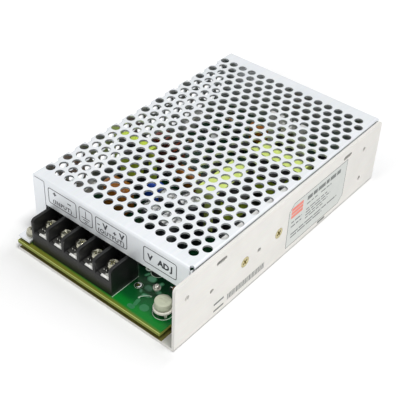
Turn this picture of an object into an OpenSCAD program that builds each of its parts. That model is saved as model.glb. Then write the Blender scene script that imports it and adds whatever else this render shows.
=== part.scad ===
// Enclosed dc-dc converter: a folded base bracket, a perforated cover, a circuit
// board with its parts and a five-pole screw terminal block. Sizes in millimetres.
// X is the width, Y the length with the terminals at -Y, Z is up.
// The origin is the middle of the underside.

/* [Case] */
// Overall width
case_w = 97; // [94:0.5:106]
// Overall length
case_l = 159; // [155:0.5:180]
// Overall height
case_h = 38; // [36.5:0.5:46]
// Sheet thickness of the base bracket
base_t = 1.5; // [1.2:0.1:1.8]
// Sheet thickness of the cover
cover_t = 1; // [0.8:0.1:1.2]
// Outer radius of the bracket's bends
bend_r = 1.9; // [1.9:0.1:2.4]
// Outer radius of the cover's bends
cover_bend_r = 1.2; // [1.2:0.1:2.4]
// Slip clearance between the cover and the bracket
slip = 0.2; // [0.1:0.05:0.4]
// Height of the right wall below the top of the cover
wall_drop = 1; // [0.6:0.1:2]
// Radius of the right wall's free corners
wall_corner_r = 2; // [1:0.25:4]

/* [Cover] */
// Length of the terminal bay that the cover leaves open
bay_l = 12.7; // [12:0.1:14]
// Gap between the cover's right lip and the right wall
lip_gap = 0.5; // [0.3:0.05:0.8]
// Height of the cover's right lip
lip_h = 3; // [2.6:0.1:3.4]
// Height of the lip's two ears, which carry the tabs
ear_h = 9; // [8.5:0.1:12]
// Width of the ears
ear_w = 14; // [10:0.1:15]
// Height of the label flange over the bay
flange_h = 14.6; // [13:0.1:15]
// Width of the left wall's front strip
strip_w = 7.4; // [6:0.1:7.6]
// Gap under the strip's foot tab, over the board
tab_up = 1.4; // [1:0.1:2]
// Width of the seams between the folded flanges
seam = 0.4; // [0.2:0.05:0.6]
// Diameter of the perforations
perf_d = 4.5; // [3.5:0.1:4.8]
// Spacing of the perforations along a row
perf_pitch = 6.1; // [5.8:0.05:7]
// Spacing of the rows
perf_row = 5.355; // [5.2:0.005:6.5]
// First row behind the cover's front edge
perf_front = 8.35; // [6:0.05:10]
// Plain margin at the cover's rear edge
perf_rear = 7; // [5:0.1:12]
// First hole from the cover's left edge
perf_side = 3.3; // [3:0.1:5]
// Height of the lowest perforations on the left wall
perf_low = 14; // [14:0.1:18]
// Distance of the left wall's rows ahead of the top's
perf_ahead = 1.4; // [0:0.1:2.6]

/* [Wall fixings] */
// Diameter of the tapped fixing holes
tap_d = 2.6; // [2.4:0.1:2.8]
// Spacing of the side fixing holes along the case
fix_l = 120; // [110:0.5:122]
// Middle of the side fixing holes ahead of the rear end
fix_back = 75; // [73:0.5:76]
// Height of the side fixing holes' middle
fix_z = 18.5; // [17:0.25:20]
// Height between the two rear fixing holes
fix_h = 18; // [14:0.5:20]
// Spacing of the underside fixing holes across the case
foot_w = 77; // [70:0.5:78]
// Length of the slots that hold the cover's tabs
slot_l = 7; // [6:0.1:8]
// Width of the slots
slot_w = 2.2; // [1.8:0.1:2.6]
// Reach of the cover's tabs into the slots
tab_reach = 0.3; // [0.2:0.05:0.8]
// Front slot behind the front end
slot_front = 30; // [28:0.5:34]
// Rear slot ahead of the rear end
slot_rear = 31; // [28:0.5:34]
// Depth of the slots below the top
slot_drop = 6; // [5:0.1:6.5]
// Diameter of the spare hole near the front of the right wall
spare_d = 2.8; // [2:0.1:3.2]

/* [Board] */
// Thickness of the circuit board
board_t = 1.6; // [1.2:0.1:2]
// Height of the standoffs under the board
standoff_h = 2.5; // [2.2:0.1:4]
// Diameter of the standoffs
standoff_d = 6; // [5:0.1:6.4]
// Side clearance of the board
board_gap = 0.8; // [0.5:0.1:1.2]
// Width of the corner notch
notch_w = 6; // [4:0.1:7]
// Length of the corner notch
notch_l = 7.2; // [5:0.1:8]
// Thickness of the insulation sheet
sheet_t = 0.4; // [0.2:0.1:0.6]

/* [Terminal block] */
// Spacing of the poles
pole_pitch = 9.8; // [9.5:0.1:10]
// Thickness of the barriers
barrier_t = 1.6; // [1.2:0.1:1.8]
// Left end from the left side of the case
block_left = 8; // [7.6:0.1:9]
// Front face behind the front end
block_front = 2.5; // [1:0.1:3]
// Depth of the block
block_d = 17; // [16.5:0.1:18]
// Height of the contact seats over the board
seat_h = 8; // [6.5:0.1:8]
// Height of the barriers over the board
barrier_h = 15.7; // [14:0.1:16.2]
// Corner cut of the barriers
barrier_cut = 1.7; // [1:0.1:3]
// Diameter of the screw heads
head_d = 6; // [5.5:0.1:6.4]
// Height of the screw heads
head_h = 2.4; // [2:0.1:2.8]
// Diameter of the terminal screws
thread_d = 3.4; // [3:0.1:3.6]
// Running clearance of a screw in its hole, on the radius
run_gap = 0.09; // [0.06:0.01:0.1]

/* [Trimmer] */
// Diameter of the knob
knob_d = 7.7; // [7:0.1:8.4]
// Height of the knob
knob_h = 3.4; // [3:0.1:5]
// Height of the frame under the knob
trim_h = 3.9; // [3.5:0.1:6]
// Distance from the right side of the case
trim_side = 15.4; // [13:0.1:16]
// Distance behind the front end
trim_front = 10.4; // [8.5:0.1:10.8]

/* [Wound parts] */
// Free height over the wound parts
headroom = 5.5; // [5:0.1:7]
// Length of the two large cores
core_l = 28.5; // [26:0.1:29]
// Depth of the two large cores
core_d = 11; // [9:0.1:11.5]
// Length of the small core
small_core_l = 19.5; // [18:0.1:20]
// Depth of the small core
small_core_d = 6; // [5:0.1:7]
// Bulge of the windings beyond the large cores
coil_out = 7; // [5:0.1:7.4]
// Bulge of the winding beyond the small core
small_coil_out = 5.5; // [4:0.1:6]
// Height of the bobbin feet
bobbin_h = 4.4; // [3.5:0.1:5.5]
// Thickness of the tape around the cores
tape_t = 0.3; // [0.2:0.05:0.5]

/* [Capacitors] */
// Diameter of the large cans
can_d = 12.5; // [11:0.1:12.8]
// Height of the large cans
can_h = 25; // [20:0.1:25.4]
// Diameter of the small cans
small_can_d = 10; // [8:0.1:10.6]
// Height of the small cans
small_can_h = 20; // [16:0.1:25]
// Diameter of the surge disc
disc_d = 15.5; // [12:0.1:16]
// Thickness of the surge disc
disc_t = 4.6; // [4:0.1:5]

/* [Heat sinks] */
// Thickness of the heat spreader
spreader_t = 3; // [2.5:0.1:3.4]
// Length of the heat spreader
spreader_l = 54; // [50:0.5:56]
// Reach of the spreader's top flange
spreader_w = 8.8; // [8:0.1:9]
// Width of the rear heat sink
sink_w = 22; // [18:0.5:26]
// Thickness of the rear heat sink
sink_t = 2; // [1.5:0.1:3]

/* [Hidden] */
$fn = 48;
POLES = 5;
cut = 1;
left_x = -case_w / 2;
right_x = case_w / 2;
front_y = -case_l / 2;
back_y = case_l / 2;
wall_in = right_x - base_t;
wall_top = case_h - wall_drop;
cover_right = wall_in - lip_gap;
cover_front = front_y + bay_l;
cover_low = slip + 0.1;
cover_in_z = case_h - cover_t;
flange_left = left_x + strip_w + seam;
floor_left = left_x + cover_t + slip;
floor_back = back_y - cover_t - slip;
tongue_left = left_x + slip;
tongue_back = cover_front - 2 * slip;
lug_w = 16;
lug_h = 11.5;
lug_inset = [42, 32];
lug_ys = [front_y + lug_inset[0], back_y - lug_inset[1]];
cover_screw_z = 8;
cover_screw_d = 2.4;
cover_head_d = 5.4;
sheet_margin = 1.5;
sheet_gap = 0.6;
board_low = base_t + standoff_h;
board_top = board_low + board_t;
board_left = floor_left + base_t + board_gap / 2;
board_right = wall_in - board_gap;
board_back = floor_back - board_gap;
wound_top = case_h - cover_t - headroom;
slot_z = case_h - slot_drop;
slot_ys = [front_y + slot_front, back_y - slot_rear];
fix_y = back_y - fix_back;
foot_xy = [for (x = [-1, 1], y = [-1, 1]) [x * foot_w / 2, fix_y + y * fix_l / 2]];
wall_screw_z = fix_z + 0.5;
wall_screw_pitch = 25.4;
wall_screw_y = front_y + 59.9;
wall_screw_ys = [wall_screw_y - wall_screw_pitch / 2, wall_screw_y + wall_screw_pitch / 2];
spare_y = front_y + 7.5;
spare_z = wall_top - 10;
wall_tap_y = wall_screw_y - 2.4;
screw_clear_d = 3.4;
standoff_xy = [
    [tongue_left + standoff_d / 2 + 0.8, front_y + 5.8],
    [right_x - 6.9, cover_front + 3.6],
    [left_x + 10, back_y - 7.5],
    [right_x - 8.5, back_y - 7.5]
];
tab_low = board_top + tab_up;
block_x = left_x + block_left;
block_y = front_y + block_front;
block_w = POLES * pole_pitch + barrier_t;
seat_z = board_top + seat_h;
contact_t = 0.8;
clamp_t = 0.9;
clamp_z = seat_z + contact_t;
head_z = clamp_z + clamp_t;
screw_back = 7.2;
screw_y = block_y + screw_back;
pole_gap = pole_pitch - barrier_t;
contact_w = pole_gap - 1;
clamp_w = pole_gap - 1.2;
clamp_l = 8.4;
collar_d = thread_d + 1.6;
collar_h = 3;
shank_l = 5.2;
trim_x = right_x - trim_side;
trim_y = front_y + trim_front;
trim_ring_d = knob_d + 1.4;
trim_ring_h = 1.5;
pivot_d = 3;
pivot_h = 2;
pivot_gap = 0.08;
knob_lift = 0.1;
knob_slot = [4.4, 0.8, 0.7];
core_z = board_top + bobbin_h + tape_t;
core_h = wound_top - core_z - tape_t;
spreader_y = front_y + 65;
spreader_top = wall_top - 5.5;
pad_t = 0.4;
spreader_out = wall_in - pad_t;
spreader_in = spreader_out - spreader_t;
spreader_low = board_top + 2;
device_w = 10.2;
device_t = 4.5;
device_tab_t = 1.3;
device_lead_h = 5;
device_body_h = 9.2;
device_tab_h = 6.6;
device_hole_up = device_lead_h + device_body_h + 3.6;
device_pitch = 13.6;
sink_y = front_y + 134.7;
sink_x = left_x + 56.5;
wall_head_d = 5.4;
wall_head_h = 0.9;
wall_head_sink = 0.9;
head_gap = 0.1;
eyelet_xy = [block_x + block_w + 4.1, front_y + 15.4];
eyelet_d = 2;
led_xy = [right_x - 26.8, front_y + 19.2];
led_d = 3;
led_h = 2.6;
transformer_at = [right_x - 24.8, front_y + 107.1, 0];
choke_at = [left_x + 62.2, front_y + 75.4, 90];
filter_at = [left_x + 12.5, front_y + 69.6, 0];
leg_share = 0.175;
mid_share = 0.27;
flange_t = 0.8;
tube_t = 0.7;
coil_gap = 0.2;
ring_at = [left_x + 15.5, front_y + 87.5];
ring_d = 18;
ring_hole = 8;
ring_t = 7;
ring_foot = 1.6;
ring_coil_t = 1.1;
ring_z = board_top + ring_foot + ring_coil_t + ring_d / 2;
device_ys = [for (i = [-1:1]) wall_screw_y + i * device_pitch];
output_can_xy = [[left_x + 60.6, front_y + 53.2], [left_x + 62.6, front_y + 37.4]];
small_can_xy = [[left_x + 46.5, front_y + 54.1], [left_x + 46.5, front_y + 42.1]];
bead_can_xy = [
    [right_x - 42, front_y + 27.5], [right_x - 18.5, front_y + 29],
    [right_x - 23, back_y - 14], [left_x + 22, back_y - 40]
];
bead_can_d = 5;
bead_can_h = 7;
film_boxes = [
    [[left_x + 19.5, front_y + 48], [15, 9, 16.4]],
    [[left_x + 35, front_y + 82], [13, 6, 12]],
    [[left_x + 38, back_y - 20], [13, 5, 11]]
];
surge_at = [left_x + 34, front_y + 60];
surge_foot = 1.5;
drum_at = [right_x - 33.2, front_y + 27.1];
fuse_at = [left_x + 21, front_y + 27.5];
fuse_l = 20;
fuse_d = 5.2;
chip_boxes = [
    [[left_x + 22, back_y - 26], [6.4, 9.6, 3.4]],
    [[left_x + 34, back_y - 34], [6.4, 9.6, 3.4]],
    [[right_x - 41, front_y + 92], [6.4, 4.6, 3.4]],
    [[right_x - 15.5, front_y + 135], [6.4, 9.6, 3.4]]
];
resistor_xyt = [
    [right_x - 17.5, front_y + 23.3, 0], [right_x - 7, front_y + 116, 90], [left_x + 14, back_y - 15, 0],
    [left_x + 14, back_y - 22, 90], [left_x + 46, back_y - 33, 90], [right_x - 41.5, back_y - 39, 90],
    [left_x + 46, back_y - 48, 0], [left_x + 10, back_y - 43, 90]
];
diode_xyt = [
    [left_x + 28, back_y - 50, 90], [left_x + 34, back_y - 52, 90], [left_x + 13, back_y - 34, 0],
    [right_x - 26, back_y - 20, 0]
];
link_xyt = [
    [right_x - 27.4, front_y + 12, 48], [right_x - 26, back_y - 8, 0],
    [left_x + 30, back_y - 8, 0], [left_x + 31, front_y + 100, 0]
];

// Extrudes an X-Z outline along Y
module along_y(y0, y1) {
    translate([0, y1, 0]) rotate([90, 0, 0]) linear_extrude(y1 - y0) children();
}

// Extrudes a Y-Z outline along X
module along_x(x0, x1) {
    translate([x0, 0, 0]) rotate([90, 0, 90]) linear_extrude(x1 - x0) children();
}

// A box from its low corner to its high corner
module span(low, high) {
    translate(low) cube(high - low);
}

// A hole or pin along X, from x0 to x1
module x_round(x0, x1, y, z, d) {
    translate([x0, y, z]) rotate([0, 90, 0]) cylinder(d = d, h = x1 - x0);
}

// Folded section with its outer corner at the origin and legs along +X and +Y
module bent_section(leg_x, leg_y, t, r) {
    translate([r, 0]) square([leg_x - r, t]);
    translate([0, r]) square([t, leg_y - r]);
    intersection() {
        square(r);
        translate([r, r]) difference() {
            circle(r);
            circle(r - t);
        }
    }
}

// Rectangle with round corners, centred on the origin
module round_rect(w, l, r) {
    square([w - 2 * r, l], center = true);
    square([w, l - 2 * r], center = true);
    for (x = [-1, 1], y = [-1, 1])
        translate([x * (w / 2 - r), y * (l / 2 - r)]) circle(r);
}

// Rectangle whose two upper corners are round
module top_round(x0, x1, z0, z1, r) {
    translate([x0, z0]) square([x1 - x0, z1 - z0 - r]);
    translate([x0 + r, z0]) square([x1 - x0 - 2 * r, z1 - z0]);
    for (x = [x0 + r, x1 - r])
        translate([x, z1 - r]) circle(r);
}

// Slot with round ends along Y, cut through the right wall
module wall_slot(y, z, l, w, x0, x1) {
    for (side = [-1, 1])
        x_round(x0, x1, y + side * (l - w) / 2, z, w);
    span([x0, y - (l - w) / 2, z - w / 2], [x1, y + (l - w) / 2, z + w / 2]);
}

// Pan-head screw: head above the origin, shank below, cross recess on top
module pan_screw(d, h, shank_d, shank_l) {
    dome_r = d * 0.62;
    recess_l = d * 0.56;
    recess_w = d * 0.13;
    difference() {
        union() {
            rotate_extrude() intersection() {
                square([d / 2, h]);
                translate([0, h - dome_r]) circle(dome_r);
            }
            translate([0, 0, -shank_l]) cylinder(d = shank_d, h = shank_l + cut / 2);
        }
        for (turn = [0, 90])
            rotate(turn) translate([-recess_l / 2, -recess_w / 2, h * 0.45]) cube([recess_l, recess_w, h]);
    }
}

// Floor, full-length right wall and two lugs for the cover, folded from one sheet
module base_bracket() {
    color("gainsboro") difference() {
        union() {
            along_y(front_y, back_y) translate([right_x, 0]) mirror([1, 0])
                bent_section(right_x - floor_left, wall_top, base_t, bend_r);
            span([tongue_left, front_y, 0], [floor_left + cut, tongue_back, base_t]);
            for (y = lug_ys)
                along_y(y - lug_w / 2, y + lug_w / 2) translate([floor_left, 0])
                    bent_section(lug_w / 2, lug_h, base_t, bend_r);
        }
        span([left_x - cut, floor_back, -cut], [wall_in, back_y + cut, base_t + cut]);
        for (y = [front_y, back_y]) wall_corner_cut(y);
        for (y = slot_ys) wall_slot(y, slot_z, slot_l, slot_w, wall_in - cut, right_x + cut);
        x_round(wall_in - cut, right_x + cut, fix_y - fix_l / 2, fix_z, tap_d);
        for (side = [-1, 1])
            x_round(wall_in - cut, right_x + cut, fix_y + fix_l / 2, fix_z + side * fix_h / 2, tap_d);
        x_round(wall_in - cut, right_x + cut, wall_tap_y, wall_screw_z, tap_d);
        x_round(wall_in - cut, right_x + cut, spare_y, spare_z, spare_d);
        for (y = wall_screw_ys) {
            x_round(wall_in - cut, right_x + cut, y, wall_screw_z, screw_clear_d);
            x_round(right_x - wall_head_sink, right_x + cut, y, wall_screw_z, wall_head_d + 2 * head_gap);
        }
        for (y = lug_ys)
            x_round(floor_left - cut, floor_left + base_t + cut, y, cover_screw_z,
                    cover_screw_d + 2 * head_gap);
        for (p = foot_xy)
            translate([p[0], p[1], -cut]) cylinder(d = tap_d, h = base_t + 2 * cut);
    }
}

// Rounds one free upper corner of the right wall
module wall_corner_cut(y) {
    inward = y < 0 ? 1 : -1;
    translate([wall_in - cut, y, wall_top]) rotate([0, 90, 0]) linear_extrude(base_t + 2 * cut)
        scale([1, inward]) difference() {
            translate([-cut, -cut]) square(wall_corner_r + cut);
            translate([wall_corner_r, wall_corner_r]) circle(wall_corner_r);
        }
}

// Rows of perforations in the top panel and the left wall, every other row running over the bend
module perforations() {
    rows = floor((back_y - perf_rear - perf_d / 2 - cover_front - perf_front) / perf_row);
    for (row = [0:rows]) {
        y = cover_front + perf_front + row * perf_row;
        shift = row % 2 * perf_pitch / 2;
        x0 = left_x + perf_side + shift;
        columns = floor((cover_right - cover_t - perf_d / 2 - x0) / perf_pitch);
        for (column = [row % 2 == 0 ? 0 : -1:columns])
            translate([x0 + column * perf_pitch, y, cover_in_z - cut])
                cylinder(d = perf_d, h = cover_t + 2 * cut);
        if (row % 2 == 1) x_round(left_x - cut, left_x + cover_t + cut, y, case_h, perf_d);
        z0 = case_h - perf_pitch - shift;
        levels = floor((z0 - perf_low) / perf_pitch);
        for (level = [0:levels])
            x_round(left_x - cut, left_x + cover_t + cut, y - perf_ahead, z0 - level * perf_pitch, perf_d);
    }
}

// Solid block with the cover's bends, grown inwards by the given inset
module cover_block(inset, low) {
    r = max(cover_bend_r - inset, 0.2);
    intersection() {
        along_y(cover_front + inset, back_y - inset)
            top_round(left_x + inset, cover_right - inset, low, case_h - inset, r);
        along_x(left_x + inset, cover_right - inset)
            top_round(cover_front + inset, back_y - inset, low, case_h - inset, r);
    }
}

// Perforated top, left wall, rear wall, label flange, front strip and right lip, folded from one sheet
module top_cover() {
    flange_low = case_h - flange_h;
    relief_d = 2 * cover_t;
    color("lightgray") {
        difference() {
            cover_block(0, cover_low);
            cover_block(cover_t, cover_low - cut);
            span([flange_left - seam, cover_front - cut, cover_low - cut],
                 [cover_right + cut, cover_front + cover_t + cut, flange_low]);
            span([left_x - cut, cover_front - cut, cover_low - cut],
                 [flange_left, cover_front + cover_t, tab_low]);
            span([flange_left - seam, cover_front - cut, cover_low],
                 [flange_left, cover_front + cover_t + slip, case_h - cover_bend_r]);
            span([left_x + cover_bend_r, cover_front - cut, cover_in_z - seam],
                 [flange_left, cover_front + cover_t + slip, cover_in_z]);
            difference() {
                span([cover_right - cover_t - cut, cover_front + cover_t, cover_low - cut],
                     [cover_right + cut, back_y - cover_t, case_h - lip_h]);
                for (y = slot_ys)
                    span([cover_right - cover_t, y - ear_w / 2, case_h - ear_h],
                         [cover_right + 2 * cut, y + ear_w / 2, case_h]);
            }
            span([cover_right - cover_t - seam, cover_front - cut, cover_low],
                 [cover_right - cover_t, cover_front + cover_t + slip, case_h - cover_bend_r]);
            translate([cover_right - cover_t, cover_front + cover_t, case_h - 2 * cover_bend_r])
                cylinder(d = relief_d, h = 3 * cover_bend_r);
            perforations();
            for (y = lug_ys) {
                x_round(left_x - cut, left_x + cover_t + cut, y, cover_screw_z, screw_clear_d);
                translate([left_x, y, cover_screw_z]) rotate([0, 90, 0])
                    cylinder(d1 = cover_head_d + 2 * head_gap, d2 = screw_clear_d, h = cover_t);
            }
        }
        difference() {
            span([left_x, front_y + 1, tab_low],
                 [left_x + strip_w, cover_front + cover_t, tab_low + cover_t]);
            translate([standoff_xy[0][0], standoff_xy[0][1], tab_low - cut])
                cylinder(d = screw_clear_d, h = cover_t + 2 * cut);
        }
        for (y = slot_ys)
            wall_slot(y, slot_z, slot_l - 2 * slip, slot_w - 2 * slip, cover_right - cover_t / 2,
                      wall_in + tab_reach);
    }
}

// Countersunk screws that hold the cover to the bracket's lugs
module cover_screws() {
    color("silver") for (y = lug_ys)
        translate([left_x, y, cover_screw_z]) rotate([0, 90, 0]) difference() {
            union() {
                cylinder(d1 = cover_head_d, d2 = cover_screw_d, h = cover_t);
                cylinder(d = cover_screw_d, h = cover_t + slip + base_t + 0.6);
            }
            for (turn = [0, 90])
                rotate(turn) translate([-1.4, -0.35, -cut]) cube([2.8, 0.7, cut + 0.6]);
        }
}

// Low-head screws that hold the heat spreader against the right wall
module wall_screws() {
    shank = base_t - wall_head_sink + pad_t + spreader_t;
    color("khaki") for (y = wall_screw_ys)
        translate([right_x, y, wall_screw_z]) rotate([0, 90, 0])
            translate([0, 0, -wall_head_sink]) difference() {
                union() {
                    cylinder(d = wall_head_d, h = wall_head_h);
                    translate([0, 0, -shank])
                        cylinder(d = tap_d - 2 * head_gap, h = shank + wall_head_h / 2);
                }
                for (turn = [0, 90])
                    rotate(turn + 30) translate([-1.6, -0.4, 0.2]) cube([3.2, 0.8, wall_head_h]);
            }
}

// Outline shared by the board and the sheet below it, drawn in by a margin
module board_outline(margin) {
    difference() {
        union() {
            translate([board_left + margin, front_y + margin])
                square([board_right - board_left - 2 * margin, board_back - front_y - 2 * margin]);
            translate([tongue_left + margin, front_y + margin])
                square([board_left - tongue_left, tongue_back - front_y - 2 * margin]);
        }
        translate([board_right - notch_w - margin, front_y - cut])
            square([notch_w + margin + cut, notch_l + margin + cut]);
    }
}

// Insulation between the floor and the board, with holes for the standoffs and side slots for the
// underside screws
module insulation_sheet() {
    color("whitesmoke") translate([0, 0, base_t]) linear_extrude(sheet_t) difference() {
        board_outline(sheet_margin);
        for (p = standoff_xy) translate(p) circle(d = standoff_d + 2 * sheet_gap);
        for (p = foot_xy) hull() {
            translate(p) circle(d = tap_d + 2 * sheet_gap);
            translate([sign(p[0]) * case_w, p[1]]) circle(d = tap_d + 2 * sheet_gap);
        }
    }
}

// Tapped pillars between the floor and the board, and a spacer between the board and the foot tab
module board_standoffs() {
    color("silver") {
        for (p = standoff_xy)
            translate([p[0], p[1], base_t]) difference() {
                cylinder(d = standoff_d, h = standoff_h);
                translate([0, 0, -cut]) cylinder(d = tap_d, h = standoff_h + 2 * cut);
            }
        translate([standoff_xy[0][0], standoff_xy[0][1], board_top]) difference() {
            cylinder(d = standoff_d, h = tab_up);
            translate([0, 0, -cut]) cylinder(d = screw_clear_d, h = tab_up + 2 * cut);
        }
    }
}

// Board with its corner notch, screw holes and test eyelet
module circuit_board() {
    color("forestgreen") translate([0, 0, board_low]) linear_extrude(board_t) difference() {
        board_outline(0);
        for (p = standoff_xy) translate(p) circle(d = screw_clear_d);
        translate(eyelet_xy) circle(d = eyelet_d);
    }
}

// Pan-head screws with washers that hold the board, and at the first one the foot tab, to the standoffs
module board_screws() {
    washer_d = standoff_d - 0.4;
    washer_t = 0.9;
    color("silver") for (i = [0:len(standoff_xy) - 1]) {
        p = standoff_xy[i];
        lift = i == 0 ? tab_up + cover_t : 0;
        shank = lift + washer_t + board_t + standoff_h - 0.3;
        translate([p[0], p[1], board_top + lift]) {
            translate([0, 0, washer_t]) pan_screw(washer_d - 0.5, 2.4, tap_d - 2 * head_gap, shank);
            difference() {
                cylinder(d = washer_d, h = washer_t);
                translate([0, 0, -cut]) cylinder(d = tap_d - 2 * head_gap, h = washer_t + 2 * cut);
            }
        }
    }
}

// Middle of one pole, counted from the left
function pole_x(pole) = block_x + barrier_t / 2 + (pole - 0.5) * pole_pitch;

// Moulded barrier block with a seat and a screw well for each pole
module terminal_block() {
    rear_t = barrier_t;
    well_d = collar_d + 0.6;
    top_z = board_top + barrier_h;
    rear_y = block_y + block_d;
    color([0.12, 0.12, 0.12]) difference() {
        union() {
            span([block_x, block_y, board_top], [block_x + block_w, rear_y, seat_z]);
            for (pole = [0:POLES])
                along_x(block_x + pole * pole_pitch, block_x + pole * pole_pitch + barrier_t) polygon([
                    [block_y, board_top], [block_y, top_z - barrier_cut], [block_y + barrier_cut, top_z],
                    [rear_y, top_z], [rear_y, board_top]
                ]);
            span([block_x, rear_y - rear_t, board_top], [block_x + block_w, rear_y, top_z - barrier_cut]);
        }
        for (pole = [1:POLES])
            translate([pole_x(pole), screw_y, seat_z - shank_l - 0.6])
                cylinder(d = well_d, h = shank_l + cut);
    }
}

// Tinned contact plates with a threaded collar under each
module terminal_contacts() {
    front_y_in = block_y + 1.4;
    color("silver") for (pole = [1:POLES])
        difference() {
            union() {
                span([pole_x(pole) - contact_w / 2, front_y_in, seat_z],
                     [pole_x(pole) + contact_w / 2, block_y + block_d - 2 * barrier_t, clamp_z]);
                translate([pole_x(pole), screw_y, seat_z - collar_h])
                    cylinder(d = collar_d, h = collar_h + contact_t / 2);
            }
            translate([pole_x(pole), screw_y, seat_z - collar_h - cut])
                cylinder(d = thread_d + 2 * run_gap, h = collar_h + contact_t + 2 * cut);
        }
}

// Square clamping plate under one terminal screw, with two pressed ridges
module terminal_clamp(pole) {
    ridge_d = 0.8;
    color("silver") translate([pole_x(pole), screw_y, clamp_z]) difference() {
        union() {
            translate([-clamp_w / 2, -clamp_l / 2, 0]) cube([clamp_w, clamp_l, clamp_t]);
            for (side = [-1, 1])
                translate([-clamp_w / 2, side * (clamp_l / 2 - ridge_d / 2), clamp_t]) rotate([0, 90, 0])
                    cylinder(d = ridge_d, h = clamp_w);
        }
        translate([0, 0, -cut]) cylinder(d = thread_d + 2 * run_gap, h = clamp_t + 2 * cut);
    }
}

// Terminal screw of one pole
module terminal_screw(pole) {
    color("silver") translate([pole_x(pole), screw_y, head_z])
        pan_screw(head_d, head_h, thread_d, clamp_t + contact_t + shank_l - 0.4);
}

// Trimmer frame: carrier ring on three legs, with the pivot for the knob
module trimmer_frame() {
    leg_w = 1.2;
    leg_h = trim_h - trim_ring_h + 0.1;
    color("linen") translate([trim_x, trim_y, board_top]) {
        translate([0, 0, trim_h - trim_ring_h]) cylinder(d = trim_ring_d, h = trim_ring_h);
        translate([0, 0, trim_h - cut / 2]) cylinder(d = pivot_d, h = pivot_h + cut / 2);
        for (turn = [90, 210, 330])
            rotate(turn) translate([knob_d / 2 - leg_w, -leg_w / 2, 0]) cube([leg_w, leg_w, leg_h]);
        cylinder(d = knob_d - 3 * leg_w, h = leg_h);
    }
}

// Knob of the trimmer with its screwdriver slot
module trimmer_knob() {
    color("beige") translate([trim_x, trim_y, board_top + trim_h + knob_lift]) difference() {
        cylinder(d = knob_d, h = knob_h);
        translate([0, 0, -cut]) cylinder(d = pivot_d + 2 * pivot_gap, h = pivot_h + cut);
        translate([-knob_slot[0] / 2, -knob_slot[1] / 2, knob_h - knob_slot[2]])
            cube([knob_slot[0], knob_slot[1], knob_slot[2] + cut]);
    }
}

// Round indicator lamp on the board
module indicator_led() {
    color("honeydew") translate([led_xy[0], led_xy[1], board_top]) {
        cylinder(d = led_d + 0.8, h = 1);
        rotate_extrude() intersection() {
            square([led_d / 2, led_h]);
            union() {
                square([led_d / 2, led_h - led_d / 2]);
                translate([0, led_h - led_d / 2]) circle(led_d / 2);
            }
        }
    }
}

// Stands a wound part at its place, with its core turned
module wound_at(place) {
    translate([place[0], place[1], 0]) rotate(place[2]) children();
}

// Ferrite core: two yokes, two outer legs and a middle leg
module e_core(l, d) {
    leg = l * leg_share;
    mid = l * mid_share;
    window = (l - 2 * leg - mid) / 2;
    translate([0, 0, core_z]) difference() {
        translate([-l / 2, -d / 2, 0]) cube([l, d, core_h]);
        for (side = [-1, 1])
            translate([side * (mid + window) / 2 - window / 2, -d / 2 - cut, leg])
                cube([window, d + 2 * cut, core_h - 2 * leg]);
    }
}

// Half width of a coil inside the core's windows
function coil_half(l) = l / 2 - l * leg_share - coil_gap;

// Bobbin: feet on the board, a tube around the middle leg and two flanges
module bobbin(l, d, out) {
    leg = l * leg_share;
    half = coil_half(l);
    reach = d / 2 + out + flange_t;
    foot_l = l * 0.86;
    plate_t = 1.6;
    low = core_z + leg;
    high = core_z + core_h - leg;
    tube_w = l * mid_share + 2 * (coil_gap + tube_t);
    tube_d = d + 2 * (coil_gap + tube_t);
    difference() {
        union() {
            translate([-foot_l / 2, -reach, core_z - tape_t - plate_t]) cube([foot_l, 2 * reach, plate_t]);
            for (side = [-1, 1]) {
                translate([-foot_l / 2, side * (reach - 1.6) - 1.6, board_top])
                    cube([foot_l, 3.2, bobbin_h - plate_t + 0.1]);
                translate([-half, side * (reach + d / 2 + coil_gap) / 2 - (reach - d / 2 - coil_gap) / 2,
                           core_z - tape_t - 0.1])
                    cube([2 * half, reach - d / 2 - coil_gap, low - core_z + tape_t + coil_gap + 0.2]);
            }
            for (z = [low + coil_gap, high - coil_gap - flange_t])
                translate([-half, -reach, z]) cube([2 * half, 2 * reach, flange_t]);
            translate([-tube_w / 2, -tube_d / 2, low + coil_gap])
                cube([tube_w, tube_d, high - low - 2 * coil_gap]);
        }
        translate([-tube_w / 2 + tube_t, -tube_d / 2 + tube_t, low])
            cube([tube_w - 2 * tube_t, tube_d - 2 * tube_t, high - low]);
    }
}

// Taped winding between the bobbin's flanges
module winding(l, d, out) {
    leg = l * leg_share;
    low = core_z + leg + coil_gap + flange_t;
    high = core_z + core_h - leg - coil_gap - flange_t;
    tube_w = l * mid_share + 2 * (coil_gap + tube_t);
    tube_d = d + 2 * (coil_gap + tube_t);
    round_r = coil_half(l) * 0.6;
    translate([0, 0, low]) linear_extrude(high - low) difference() {
        round_rect(2 * coil_half(l), d + 2 * out, round_r);
        square([tube_w, tube_d], center = true);
    }
}

// Tape once around the core's outside
module core_tape(l, d) {
    tape_w = d - 0.4;
    translate([0, 0, core_z]) difference() {
        translate([-l / 2 - tape_t, -tape_w / 2, -tape_t])
            cube([l + 2 * tape_t, tape_w, core_h + 2 * tape_t]);
        translate([-l / 2, -d / 2, 0]) cube([l, d, core_h]);
    }
}

module transformer_bobbin() {
    color([0.15, 0.15, 0.15]) wound_at(transformer_at) bobbin(core_l, core_d, coil_out);
}

module transformer_core() {
    color([0.25, 0.25, 0.25]) wound_at(transformer_at) e_core(core_l, core_d);
}

module transformer_winding() {
    color("khaki") wound_at(transformer_at) winding(core_l, core_d, coil_out);
}

module transformer_tape() {
    color("yellowgreen") wound_at(transformer_at) core_tape(core_l, core_d);
}

module choke_bobbin() {
    color([0.15, 0.15, 0.15]) wound_at(choke_at) bobbin(core_l, core_d, coil_out);
}

module choke_core() {
    color([0.25, 0.25, 0.25]) wound_at(choke_at) e_core(core_l, core_d);
}

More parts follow.
